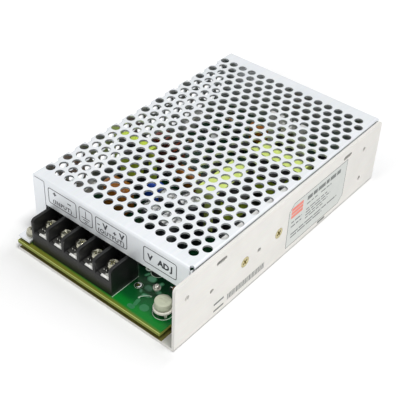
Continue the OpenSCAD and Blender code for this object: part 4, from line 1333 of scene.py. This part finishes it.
@dataclass
class BoardFace:
    """What lies on the board in the open bay: the eyelet, the print, and copper under the mask."""

    top: float = BOARD_TOP
    # Middle of the test eyelet, and its radii and height
    eyelet: Pair = (14.2, -64.1)
    eyelet_size: Point = (1.5, 0.9, 0.3)
    # Height of the ink, the line beside the terminals, and place and radii of the circles
    ink: float = 0.04
    line: tuple[Pair, Pair] = ((10.25, -77.2), (10.48, -59.8))
    circles: tuple[tuple[float, float, float, float], ...] = (
        (33.1, -69.1, 4.75, 4.5), (15.3, -52.4, 3.3, 3.05), (10.6, -53.0, 1.7, 0.9),
        (14.2, -64.1, 2.05, 1.9))
    # Width, height and corner radius of the dark film along the spreader's edge, which darkens part of what
    # shows under the holes
    tape: Point = (1.3, 0.02, 0.4)
    # Corners of the two arms of a dark strip under the board's front edge, laid there as painted shade of
    # the gap
    gap_shade_strips: tuple[tuple[Point, Point], ...] = (
        ((-47.6, -79.4, 1.5), (41.2, -76.9, 1.75)), ((38.0, -76.9, 1.5), (41.2, -64.0, 1.75)))
    # X, Y, width, length and turn of each copper area
    pads: tuple[tuple[float, float, float, float, float], ...] = (
        (16.1, -57.2, 4.4, 3.6, 0), (18.8, -62.5, 4.2, 3.2, -8), (21.3, -57.9, 1.8, 4.2, -15),
        (24.0, -61.7, 2.8, 2.4, 0), (20.9, -66.6, 3.8, 1.8, 20), (17.2, -65.8, 1.2, 2.0, 35),
        (12.6, -56.4, 1.2, 2.6, -20))
    # Copper areas where light falls: drawn with only the soft edge, as painted shade, while the areas above,
    # in the flange's shade, get the brighter copper as painted light
    lit_pads_painted_dim: tuple[tuple[float, float, float, float, float], ...] = (
        (20.5, -72.2, 1.5, 4.2, 10), (25.3, -72.6, 4.0, 3.6, 0), (20.2, -75.6, 3.4, 2.0, 0))
    # Half length, rise and radius of a wire link, and X, Y and turn of each
    link: Point = (2.6, 0.42, 0.2)
    links: tuple[Point, ...] = ((21.1, -67.5, 48), (22.5, 71.5, 0), (-18.5, 71.5, 0), (-17.5, 20.5, 0))

    def build(self) -> None:
        """Makes each of them."""
        sheet = Sheet(Plane.BOARD, self.top)
        self.copper(sheet)
        self.wire_links()
        self.print_lines(sheet)
        self.films()

    def copper(self, sheet: Sheet) -> None:
        """Sets the eyelet, and lays the copper areas with their soft edges.

        Args:
            sheet: The board's face.
        """
        washer = Bench.smooth(Bench.washer("test_eyelet", (*self.eyelet, self.top), *self.eyelet_size))
        mount(TIN.dress(washer), "root", "plated_steel")
        # Painted light and shade: areas in the flange's shade get the bright copper, those where light falls
        # only the soft edge
        for name, finish, pads, grow, proud in (
                ("copper_haze", MASKED_HAZE, self.pads + self.lit_pads_painted_dim, 0.4, 0.01),
                ("copper_areas", MASKED_COPPER, self.pads, -0.6, 0.02)):
            areas = [self.pad(sheet, *pad, grow, proud) for pad in pads]
            copper = Sheet.thicken(Bench.join(name, *areas))
            mount(finish.dress(copper), "root", "board_laminate")

    def print_lines(self, sheet: Sheet) -> None:
        """Prints the line beside the terminals and the parts' circles.

        Args:
            sheet: The board's face.
        """
        lines = [Sheet.thicken(sheet.patch("line", *self.line, self.ink))]
        lines += [Bench.washer("circle", (x, y, self.top), outer, inner, self.ink)
                  for x, y, outer, inner in self.circles]
        ink = Bench.join("board_print", *lines)
        mount(WHITE_INK.dress(ink), "root", "board_laminate")

    def films(self) -> None:
        """Lays a dark film along the spreader's edge, and a dark strip under the board's front edge as
        painted shade of the gap there.
        """
        low, high = (Vector(corner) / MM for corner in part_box("heat_spreader"))
        wide, proud, corner = self.tape
        film = Sheet.thicken(Sheet(Plane.BOARD, high.z).patch(
            "spreader_edge_dark_film", (low.x, low.y), (low.x + wide, high.y), proud, corner))
        mount(SLEEVE.dress(film), "root", "insulation_film")
        strip = Bench.join("front_gap_shade_strip", *(
            Bench.round_edges(Bench.block("strip", *corners), 0.05) for corners in self.gap_shade_strips))
        mount(FIBRE_AND_GAP_SHADE.dress(strip), "root", "insulation_film")

    def pad(self, sheet: Sheet, x: float, y: float, wide: float, long: float, turn: float, grow: float,
            proud: float) -> bpy.types.Object:
        """Lays one rounded copper area.

        Args:
            sheet: The board's face.
            x: Its middle across the board.
            y: Its middle along the board.
            wide: Its width.
            long: Its length.
            turn: Its turn in degrees.
            grow: What is added to both sizes.
            proud: Its height over the board.

        Returns:
            The area.
        """
        across, along = (wide + grow) / 2, (long + grow) / 2
        piece = sheet.patch("area", (-across, -along), (across, along), proud, 0.96 * min(across, along))
        return Bench.place(piece, "area", (x, y, 0), turn)

    def wire_links(self) -> None:
        """Bends one thin link with its soldered feet, and copies it to its places."""
        half, rise, radius = self.link
        wire = Bench.wire("link", (
            (-half, 0, 0), (-half + 0.15, 0, rise * 0.7), (-half * 0.5, 0.1, rise),
            (half * 0.5, 0.1, rise), (half - 0.15, 0, rise * 0.7), (half, 0, 0)), radius)
        feet = [Bench.lathe("foot", (side * half, 0, 0), ((0.55, 0), (0.4, 0.15), (0.2, 0.3)), segments=12)
                for side in (-1, 1)]
        model = Bench.smooth(Bench.join("link", wire, *feet))
        LINK_WIRE.dress(model)
        spots = [((x, y, self.top), turn) for x, y, turn in self.links]
        mount(Bench.spread(model, "bare_wire_links", spots), "root", "plated_steel", "wire_links")


@dataclass
class CasePrint:
    """Print on the label flange and on the full wall, as generic marks, plain bars and blocks."""

    flange: Sheet = Sheet(Plane.FLANGE, -66.8)
    wall: Sheet = Sheet(Plane.WALL, 48.5)
    tab: Sheet = Sheet(Plane.WALL, 47.3)
    # How far print stands off its face, and print on the label off the label's own face
    proud: float = 0.02
    over: float = 0.01
    # Line width, corner radius, foot and head, and sides of the frames on the flange
    line: float = 0.42
    corner: float = 1.3
    span: Pair = (26.2, 35.2)
    frames: tuple[Pair, ...] = ((-38.6, -20.4), (-18.9, -10.4), (-8.7, 10.3), (19.7, 38.4))
    # Words, middle, height, spacing and boldness of each mark
    marks: tuple[tuple[str, float, float, float, float, float], ...] = (
        ("+", -34.3, 32.7, 2.7, 1.0, 0.07), ("(INPUT)", -29.6, 28.4, 2.1, 1.2, 0.04),
        ("V", -2.7, 31.7, 3.0, 1.0, 0.07), ("+", 3.0, 31.2, 2.4, 1.0, 0.07),
        ("V", 7.2, 31.7, 3.0, 1.0, 0.07), ("(OUTPUT)", 0.7, 28.3, 2.1, 1.2, 0.04),
        ("V", 23.5, 30.2, 3.1, 1.0, 0.07), ("A", 29.4, 30.2, 3.1, 1.0, 0.07),
        ("D", 32.5, 30.2, 3.1, 1.0, 0.07), ("J", 35.5, 30.6, 3.0, 1.0, 0.07))
    # Middle and half sizes of the minus signs and of the earth symbol's strokes
    strokes: tuple[tuple[float, float, float, float], ...] = (
        (-25.0, 32.0, 1.15, 0.3), (-6.6, 31.3, 0.8, 0.3), (-14.65, 31.9, 0.2, 2.1),
        (-14.65, 29.8, 2.6, 0.2), (-14.65, 28.6, 1.7, 0.2), (-14.65, 27.4, 0.8, 0.2))
    # The label's corners, the cut of two of them, and its border
    label: tuple[Pair, Pair] = ((0.3, 4.2), (49.2, 30.0))
    label_cut: float = 3.6
    border: float = 0.28
    # Feet of the coral blocks, their height and their sides
    block_feet: Point = (21.4, 23.6, 25.8)
    block_tall: float = 1.8
    block_sides: Pair = (2.2, 11.6)
    # Foot, height, start, end and word lengths of each row of bars, and the gap between words
    rows: tuple[tuple[float, float, float, float, tuple[float, ...]], ...] = (
        (25.0, 2.4, 15.0, 43.5, (4.2, 3.4, 6.0, 2.6, 5.0)), (22.4, 0.7, 15.0, 24.0, (3.0, 2.0)),
        (22.4, 0.7, 27.0, 36.0, (4.0, 2.4)), (19.0, 0.7, 15.0, 33.0, (2.6, 4.4, 3.2)),
        (17.2, 0.7, 15.0, 36.0, (3.6, 2.2, 5.0)), (15.4, 0.7, 15.0, 34.0, (4.6, 3.0)),
        (13.6, 0.7, 15.0, 30.0, (2.4, 5.2)), (10.6, 0.8, 3.5, 43.0, (6.0, 4.0, 7.0)),
        (8.8, 0.8, 3.5, 30.0, (5.0, 6.4)), (15.6, 0.8, 3.0, 11.6, (3.4, 2.0)),
        (18.2, 0.8, 3.0, 11.6, (2.2, 4.4)))
    gap: float = 0.8
    # Corners of the bars beside the label
    lone_bars: tuple[tuple[Pair, Pair], ...] = (
        ((-53.5, 3.6), (-46.5, 4.7)), ((-53.5, 7.6), (-46.5, 8.7)), ((27.5, 2.2), (34.0, 3.6)))
    # Start, end, foot and head of the tick strip, and its widths and gaps in turn
    ticks: tuple[float, float, float, float] = (-44.0, -17.0, 4.4, 8.0)
    tick_widths: tuple[float, ...] = (0.5, 0.3, 0.8, 0.4, 0.6)
    tick_gaps: tuple[float, ...] = (0.5, 0.35, 0.45)
    # Middles of the wall's slots, and half sizes of a tab's end
    slots: tuple[Pair, ...] = ((-49.5, 32.0), (48.5, 32.0))
    tab_half: Pair = (3.3, 0.9)

    def build(self) -> None:
        """Makes the print of both faces, and the painted shade on the ends of the cover's tabs."""
        self.flange_marks()
        self.wall_label()
        self.wall_print()
        self.tab_shade()

    def flange_marks(self) -> None:
        """Draws the framed marks over the terminals and over the trimmer."""
        sheet, proud = self.flange, self.proud
        foot, head = self.span
        parts = [sheet.outline(f"frame_{i}", (low, foot), (high, head), self.line, self.corner, proud)
                 for i, (low, high) in enumerate(self.frames)]
        parts += [sheet.words("mark", words, (across, up), height, proud, spread, bold)
                  for words, across, up, height, spread, bold in self.marks]
        parts += [sheet.patch("stroke", (across - wide, up - tall), (across + wide, up + tall), proud)
                  for across, up, wide, tall in self.strokes]
        marks = Sheet.thicken(Bench.join("flange_print", *parts))
        mount(INK.dress(marks), "root", "cover_sheet")

    def wall_label(self) -> None:
        """Lays the plate label with two cut corners and a printed border."""
        plate = self.wall.patch("wall_label", *self.label, self.proud)
        middle = (Vector(self.label[0]) + Vector(self.label[1])) / 2
        with Bench.editing(plate):
            Bench.pick(plate, Elements.VERTS, lambda mid, normal: (mid.y < middle.x) != (mid.z < middle.y))
            bpy.ops.mesh.bevel(offset=self.label_cut * MM, segments=1, affect="VERTICES")
            Bench.pick(plate, Elements.FACES, lambda mid, normal: True)
            bpy.ops.mesh.inset(thickness=self.border * MM, depth=0)
        LABEL.dress(plate)
        plate.data.materials.append(INK.material())
        for face in plate.data.polygons:
            face.material_index = 0 if len(face.vertices) > 4 else 1
        mount(Sheet.thicken(plate), "root", "bracket_aluminium")

    def wall_print(self) -> None:
        """Prints blocks and bars on the label, and bars and a strip of ticks beside it."""
        sheet, proud, raised = self.wall, self.proud, self.proud + self.over
        left, right = self.block_sides
        blocks = [sheet.patch("block", (left, up), (right, up + self.block_tall), raised)
                  for up in self.block_feet]
        coral = Sheet.thicken(Bench.join("wall_colour_bars", *blocks))
        mount(CORAL.dress(coral), "root", "bracket_aluminium")
        bars = []
        for up, tall, across, end, words in self.rows:
            turn = 0
            while across < end:
                stop = min(across + words[turn % len(words)], end)
                bars.append(sheet.patch("bar", (across, up), (stop, up + tall), raised))
                across, turn = stop + self.gap, turn + 1
        bars += [sheet.patch("bar", low, high, proud) for low, high in self.lone_bars]
        across, end, foot, head = self.ticks
        turn = 0
        while across < end:
            wide = self.tick_widths[turn % len(self.tick_widths)]
            bars.append(sheet.patch("tick", (across, foot), (across + wide, head), proud))
            across += wide + self.tick_gaps[turn % len(self.tick_gaps)]
            turn += 1
        printed = Sheet.thicken(Bench.join("wall_print", *bars))
        mount(GREY_INK.dress(printed), "root", "bracket_aluminium")

    def tab_shade(self) -> None:
        """Lays painted shade on the ends of the cover's tabs, which sit recessed in the wall's slots."""
        half, tall = self.tab_half
        ends = [self.tab.patch("end", (y - half, z - tall), (y + half, z + tall), self.proud, tall * 0.96)
                for y, z in self.slots]
        piece = Sheet.thicken(Bench.join("cover_tab_shade", *ends))
        mount(PAINTED_TAB_SHADE.dress(piece), "root", "cover_sheet")


@dataclass
class BoardScrews:
    """Pan-head screws with a flat and a spring washer, which hold the board and the cover's foot tab."""

    places: tuple[Point, ...] = (
        (-44.5, -73.7, 8.0), (41.6, -63.2, BOARD_TOP), (-38.5, 72.0, BOARD_TOP), (40.0, 72.0, BOARD_TOP))
    turns: tuple[float, ...] = (25.0, 60.0, 10.0, 80.0)
    washer: Pair = (2.8, 0.9)
    head: Pair = (2.55, 2.4)
    shank: Pair = (1.2, 3.0)
    # Half length, arm width and depth of the cross
    cross: Point = (1.5, 0.62, 1.3)

    def build(self) -> None:
        """Turns one screw with its washers, sinks its cross and stands it at each place."""
        wide, thick = self.washer
        radius, height = self.head
        top = thick + height
        model = Bench.smooth(Bench.lathe("board_screw", (0, 0, 0), (
            (self.shank[0], -self.shank[1]), (self.shank[0], 0), (wide - 0.1, 0), (wide, 0.08), (wide, 0.36),
            (wide - 0.3, 0.42), (wide - 0.3, 0.48), (wide - 0.06, 0.52), (wide - 0.06, thick - 0.04),
            (radius - 0.2, thick), (radius, thick + 0.1), (radius, thick + 0.9), (radius - 0.12, top - 0.85),
            (radius - 0.5, top - 0.42), (radius - 1.05, top - 0.14), (radius - 1.8, top - 0.02),
            (0.1, top))))
        cross_recess(model, *self.cross, top)
        SCREW.dress(model)
        screws = Bench.spread(model, "board_screws_pan_head", zip(self.places, self.turns))
        mount(screws, "root", "plated_steel", "board_screws")


@dataclass
class Cans:
    """Electrolytic cans: shrunk sleeve with a crimp groove, and a bare aluminium top with a scored vent."""

    board: float = BOARD_TOP
    # CAD node, diameter, height and places of each size
    sizes: tuple[tuple[str, float, float, tuple[Pair, ...]], ...] = (
        ("output_capacitors", 12.5, 25.0, ((12.1, -26.3), (14.1, -42.1))),
        ("small_capacitors", 10.0, 20.0, ((-2.0, -25.4), (-2.0, -37.4))),
        ("bead_capacitors", 5.0, 7.0, ((6.5, -52.0), (30.0, -50.5), (25.5, 65.5), (-26.5, 39.5))))
    # Turn of the first can, and from each can to the next, in degrees
    first_turn: float = 12.0
    turn_step: float = 31.0

    def build(self) -> None:
        """Makes the cans of each size."""
        for size in self.sizes:
            self.row(*size)

    def row(self, node: str, width: float, height: float, places: Sequence[Pair]) -> None:
        """Turns one can and stands it at each place.

        Args:
            node: The CAD node that these cans stand for.
            width: Diameter of a can.
            height: Height over the board.
            places: Where the cans stand.
        """
        radius, rim = width / 2, width * 0.06
        sleeve = Bench.smooth(Bench.lathe("sleeve", (0, 0, 0), (
            (radius - 0.4, 0), (radius, 0.35), (radius, 1.5), (radius - 0.35, 1.9), (radius - 0.35, 2.5),
            (radius, 2.9), (radius, height - rim), (radius - rim * 0.3, height - rim * 0.3),
            (radius - rim, height), (radius - 1.7 * rim, height - 0.04),
            (radius - 1.9 * rim, height - 0.3))))
        SLEEVE.dress(sleeve)
        flat = radius - 1.75 * rim
        disc = Bench.lathe("disc", (0, 0, height), (
            (flat, -0.9), (flat, -0.12), (flat - 0.25, -0.06), (0.1, -0.06)))
        for turn in (0, 90):
            score = Bench.block("score", (-flat * 0.75, -0.14, -0.2), (flat * 0.75, 0.14, 0.5))
            Bench.carve(disc, Bench.place(score, "score", (0, 0, height), turn))
        CAN_TOP.dress(Bench.smooth(disc))
        spots = [((x, y, self.board), self.turn_step * i + self.first_turn)
                 for i, (x, y) in enumerate(places)]
        for model, slot, stem, replaced in ((sleeve, "can_sleeve", "sleeves", (node,)),
                                            (disc, "tinned_contact", "tops", ())):
            mount(Bench.spread(model, f"{node}_{stem}", spots), "root", slot, *replaced)


@dataclass
class RingChoke:
    """Upright ring choke: two layers of enamelled wire on a taped core, on a moulded foot."""

    middle: Point = (-33.0, 8.0, 17.3)
    outer: float = 9.0
    inner: float = 4.0
    half: float = 3.5
    wire_radius: float = 0.5
    # Gap between the wire and the core, and how far a turn cuts the core's corners
    clearance: float = 0.02
    corner: float = 0.9
    turns_per_side: int = 15
    # Where each half's turns start round the ring, and how far they run, in degrees
    starts: Pair = (-78.0, 102.0)
    sweep: float = 156.0
    foot: tuple[Point, Point] = ((-40.0, 2.4, BOARD_TOP), (-26.0, 13.6, 7.86))

    def build(self) -> None:
        """Winds one turn, copies it round the ring, and adds the foot."""
        gap, corner = self.wire_radius + self.clearance, self.corner
        low, high, side = self.inner - gap, self.outer + gap, self.half + gap
        mid = (low + high) / 2
        path = ((low, 0, -side + corner), (low, 0, 0), (low, 0, side - corner), (low + corner, 0, side),
                (mid, 0, side), (high - corner, 0, side), (high, 0, side - corner), (high, 0, 0),
                (high, 0, -side + corner), (high - corner, 0, -side), (mid, 0, -side),
                (low + corner, 0, -side))
        turn = Bench.wire("turn", path, self.wire_radius, closed=True, sides=1)
        pitch = self.sweep / (self.turns_per_side - 1)
        coil = Bench.spread(turn, "coil", [((0, 0, 0), start + step * pitch) for start in self.starts
                                           for step in range(self.turns_per_side)])
        coil.rotation_euler = Axis.REAR.value
        coil.location = Vector(self.middle) * MM
        Bench.settle(coil, "ring_choke_turns")
        mount(COPPER.dress(coil), "root", "enamelled_copper", "ring_choke_winding")
        base = Bench.round_edges(Bench.block("ring_choke_foot", *self.foot), 0.5)
        mount(BOBBIN.dress(base), "root", "bobbin_moulding")


@dataclass
class AxialParts:
    """Lacquered resistors with colour bands and moulded diodes with a cathode band, on bent leads."""

    board: float = BOARD_TOP
    resistors: tuple[Point, ...] = (
        (31.0, -56.2, 0), (41.5, 36.5, 90), (-34.5, 64.5, 0), (-34.5, 57.5, 90), (-2.5, 46.5, 90),
        (7.0, 40.5, 90), (-2.5, 31.5, 0), (-38.5, 36.5, 90))
    diodes: tuple[Point, ...] = ((-20.5, 29.5, 90), (-14.5, 27.5, 90), (-35.5, 45.5, 0), (22.5, 59.5, 0))
    # Height of the axis over the board, and spacing of the leads
    resistor_stand: Pair = (1.2, 10.0)
    diode_stand: Pair = (1.6, 10.5)
    # Radius and place of each ring of a body along its axis
    bone: tuple[Pair, ...] = (
        (0.8, -3.2), (1.1, -3.1), (1.2, -2.9), (1.2, -2.3), (1.0, -1.9), (1.0, 1.9), (1.2, 2.3),
        (1.2, 2.9), (1.1, 3.1), (0.8, 3.2))
    rod: tuple[Pair, ...] = ((1.3, -3.0), (1.6, -2.8), (1.6, 2.8), (1.3, 3.0))
    # Place, radius and finish of each band
    resistor_bands: tuple[tuple[float, float, Finish], ...] = (
        (-2.6, 1.23, BAND_BROWN), (-1.2, 1.03, BAND_BLACK), (0.0, 1.03, BAND_RED), (2.6, 1.23, YELLOW_ZINC))
    diode_bands: tuple[tuple[float, float, Finish], ...] = ((2.0, 1.62, CAN_TOP),)
    band_half: float = 0.3
    lead_radius: float = 0.34
    sides: int = 20

    def build(self) -> None:
        """Models one of each kind and copies it to its places."""
        self.part("resistors", "resistor_coat", RESISTOR, *self.resistor_stand, self.bone,
                  self.resistor_bands, self.resistors)
        self.part("diodes", "device_moulding", DEVICE, *self.diode_stand, self.rod, self.diode_bands,
                  self.diodes)

    def part(self, node: str, slot: str, finish: Finish, rise: float, span: float,
             outline: Sequence[Pair], bands: Sequence[tuple[float, float, Finish]],
             places: Sequence[Point]) -> None:
        """Models one axial part and copies it.

        Args:
            node: The CAD node these parts stand for.
            slot: The record's slot of their coat.
            finish: The coat.
            rise: Height of the axis over the board.
            span: Spacing of the leads.
            outline: Rings of the body along its axis.
            bands: Place, radius and finish of each colour band.
            places: X, Y and turn of each part.
        """
        body = Bench.smooth(Bench.lathe("body", (0, 0, rise), outline, Axis.RIGHT, self.sides))
        pieces = [finish.dress(body)]
        edge, flat = self.band_half, self.band_half - 0.02
        for along, radius, colour in bands:
            band = Bench.lathe("band", (along, 0, rise), (
                (radius - 0.1, -edge), (radius, -flat), (radius, flat), (radius - 0.1, edge)),
                Axis.RIGHT, self.sides)
            pieces.append(colour.dress(Bench.smooth(band)))
        foot = span / 2
        bend = ((outline[-1][1] * 0.9, rise), (foot - 0.5, rise), (foot - 0.05, rise - 0.35), (foot, 0))
        for side in (-1, 1):
            lead = Bench.wire("lead", [(side * along, 0, up) for along, up in bend], self.lead_radius)
            pieces.append(TIN.dress(lead))
        model = Bench.join("model", *pieces)
        spots = [((x, y, self.board), turn) for x, y, turn in places]
        mount(Bench.spread(model, f"{node}_axial", spots), "root", slot, node)


@dataclass
class DippedParts:
    """Dipped capacitors and the surge disc, with soft edges and bare leads."""

    board: float = BOARD_TOP
    boxes: tuple[tuple[float, float, float, float, float], ...] = (
        (-29.0, -31.5, 15.0, 9.0, 16.4), (-13.5, 2.5, 13.0, 6.0, 12.0), (-10.5, 59.5, 13.0, 5.0, 11.0))
    disc: Point = (-14.5, -19.5, 14.85)
    disc_size: Pair = (7.75, 4.6)
    # Half the spacing of the disc's leads and their radius, and a box's edge radius as a share of its depth
    lead_half: float = 3.875
    lead_radius: float = 0.42
    softness: float = 0.28

    def build(self) -> None:
        """Makes the boxes and the disc."""
        coats = []
        for i, (x, y, wide, deep, high) in enumerate(self.boxes):
            box = Bench.block(f"box_{i}", (x - wide / 2, y - deep / 2, self.board),
                              (x + wide / 2, y + deep / 2, self.board + high))
            coats.append(Bench.round_edges(box, deep * self.softness, 4))
        boxes = Bench.join("film_capacitor_coats", *coats)
        mount(FILM.dress(boxes), "root", "film_dip", "film_capacitors")
        radius, thick = self.disc_size
        half = thick / 2
        rings = [(radius * 0.55, -half), (radius * 0.85, -half * 0.94), (radius * 0.95, -half * 0.7),
                 (radius, -half * 0.25), (radius, half * 0.25), (radius * 0.95, half * 0.7),
                 (radius * 0.85, half * 0.94), (radius * 0.55, half)]
        coat = Bench.smooth(Bench.lathe("disc", self.disc, rings, Axis.REAR, 40))
        x, y, z = self.disc
        pieces = [DISC.dress(coat)]
        for side in (-1, 1):
            lead = Bench.wire("lead", [(x + side * self.lead_half, y, level)
                                       for level in (z - 5.0, z - 7.2, self.board)], self.lead_radius)
            pieces.append(TIN.dress(lead))
        mount(Bench.join("surge_disc_coat", *pieces), "root", "disc_dip", "surge_disc")


@dataclass
class Studio:
    """Pale floor, soft lamps, plain world and the photograph's camera."""

    target: Point = (4.903, -10.649, 16.822)
    azimuth: float = 38.035
    elevation: float = 39.637
    roll: float = 2.532
    distance: float = 425.77
    focal_share: float = 889.46 / 400
    sensor: float = 36.0
    # Name, place, aim, side in millimetres and power in watts of each softbox
    lamps: tuple[tuple[str, Point, Point, float, float], ...] = (
        ("key_softbox", (183, -80, 709), (5, -3, 36), 150, 3.0),
        ("right_softbox", (540, -230, 300), (20, -10, 15), 360, 0.7))
    # Side of the floor in metres, and how far it lies under the part in millimetres
    floor_side: float = 12.0
    floor_drop: float = 0.05
    # The surround's strength for shading, and as the camera and gloss see it
    surround: Pair = (0.4, 1.0)
    # Root of the distance from the case, in metres, where the floor's own white starts and is full
    glow_reach: Pair = (0.07, 0.5)
    glow: float = 0.5
    # How many times a distance from the long sides counts, so that their shadow stays narrow
    side_weight: float = 3.0

    def build(self) -> None:
        """Makes the floor, the lamps, the world and the camera."""
        self.floor()
        self.world()
        for lamp in self.lamps:
            self.lamp(*lamp)
        self.camera()
        bpy.context.scene.view_settings.view_transform = "Standard"

    def floor(self) -> None:
        """Lays a wide pale floor that shows white to the camera and still takes the shadow."""
        bpy.ops.object.select_all(action="DESELECT")
        bpy.ops.mesh.primitive_plane_add(size=self.floor_side, location=(0, 0, -self.floor_drop * MM))
        plane = bpy.context.object
        plane.name = "studio_floor"
        made = bpy.data.materials.new("white_paper_sweep")
        made.use_nodes = True
        tree = made.node_tree
        tree.nodes.clear()
        paper = add_node(tree, "BsdfDiffuse", None, {"Color": linear("F4F4F4")})
        spot = add_node(tree, "VectorMath", {"operation": "ABSOLUTE"}, {
            0: add_node(tree, "TexCoord").outputs["Object"]})
        out = add_node(tree, "VectorMath", {"operation": "SUBTRACT"}, {0: spot.outputs[0], 1: CAD_BOX[1]})
        beyond = add_node(tree, "VectorMath", {"operation": "MAXIMUM"}, {0: out.outputs[0], 1: (0, 0, 0)})
        clear = add_node(tree, "VectorMath", {"operation": "MULTIPLY"}, {
            0: beyond.outputs[0], 1: (self.side_weight, 1, 1)})
        away = add_node(tree, "VectorMath", {"operation": "LENGTH"}, {0: clear.outputs[0]})
        share = add_node(tree, "Math", {"operation": "SQRT"}, {0: away.outputs["Value"]})
        glow = add_node(tree, "MapRange", None, {
            0: share.outputs[0], 1: self.glow_reach[0], 2: self.glow_reach[1], 3: 0.0, 4: self.glow})
        lit = add_node(tree, "Emission", None, {"Strength": glow.outputs[0]})
        both = add_node(tree, "AddShader", None, {0: paper.outputs[0], 1: lit.outputs[0]})
        seen = add_node(tree, "MixShader", None, {
            0: self.seen_directly(tree), 1: paper.outputs[0], 2: both.outputs[0]})
        add_node(tree, "OutputMaterial", None, {"Surface": seen.outputs[0]})
        plane.data.materials.append(made)

    @staticmethod
    def seen_directly(tree: bpy.types.NodeTree) -> bpy.types.NodeSocket:
        """Tells rays that show the background from rays that only carry its light.

        Args:
            tree: The tree of the floor's material or of the world.

        Returns:
            A socket that is 1 for the camera's rays and for those in gloss and glass.
        """
        path = add_node(tree, "LightPath")
        gloss = add_node(tree, "Math", {"operation": "MAXIMUM"}, {
            0: path.outputs["Is Camera Ray"], 1: path.outputs["Is Glossy Ray"]})
        return add_node(tree, "Math", {"operation": "MAXIMUM"}, {
            0: gloss.outputs[0], 1: path.outputs["Is Transmission Ray"]}).outputs[0]

    def world(self) -> None:
        """Sets a white surround for the camera and for gloss, and a softer one for shading."""
        sky = bpy.data.worlds.new("studio_surround")
        bpy.context.scene.world = sky
        sky.use_nodes = True
        tree = sky.node_tree
        tree.nodes.clear()
        level = add_node(tree, "MapRange", None, {
            0: self.seen_directly(tree), 3: self.surround[0], 4: self.surround[1]})
        glow = add_node(tree, "Background", None, {
            "Color": (1.0, 1.0, 1.0, 1.0), "Strength": level.outputs[0]})
        add_node(tree, "OutputWorld", None, {"Surface": glow.outputs[0]})

    def lamp(self, name: str, place: Point, aim: Point, size: float, watts: float) -> None:
        """Hangs a square softbox.

        Args:
            name: The lamp's name.
            place: Its middle.
            aim: The point it faces.
            size: The length of its side.
            watts: Its power.
        """
        bpy.ops.object.light_add(type="AREA", location=Vector(place) * MM)
        box = bpy.context.object
        box.name = name
        box.data.size = size * MM
        box.data.energy = watts
        box.rotation_euler = (Vector(place) - Vector(aim)).to_track_quat("Z", "Y").to_euler()

    def camera(self) -> None:
        """Stands the camera where the photograph was taken from."""
        turn, rise, tilt = (math.radians(a) for a in (self.azimuth, self.elevation, self.roll))
        back = Vector((math.sin(turn) * math.cos(rise), -math.cos(turn) * math.cos(rise), math.sin(rise)))
        right = Vector((math.cos(turn), math.sin(turn), 0))
        above = back.cross(right)
        right, above = (right * math.cos(tilt) + above * math.sin(tilt),
                        above * math.cos(tilt) - right * math.sin(tilt))
        bpy.ops.object.camera_add(location=(Vector(self.target) + back * self.distance) * MM)
        eye = bpy.context.object
        eye.name = "photo_camera"
        eye.rotation_euler = Matrix((right, above, back)).transposed().to_euler()
        eye.data.sensor_fit = "HORIZONTAL"
        eye.data.sensor_width = self.sensor
        eye.data.lens = self.focal_share * self.sensor
        eye.data.clip_start = 0.01
        bpy.context.scene.camera = eye


def main() -> None:
    """Dresses the CAD nodes, builds the pieces and sets the studio."""
    logging.basicConfig(level=logging.INFO, format="%(message)s")
    for finish, nodes in NODE_FINISHES.items():
        finish.dress(*(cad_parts[node] for node in nodes))
        LOG.info("%s on %s", finish.name, ", ".join(nodes))
    for assembly in (TerminalStrip(), BoardScrews(), Trimmer(), Lamp(), BoardFace(), CasePrint(), Cans(),
                     RingChoke(), AxialParts(), DippedParts(), Studio()):
        assembly.build()


if __name__ == "__main__":
    main()
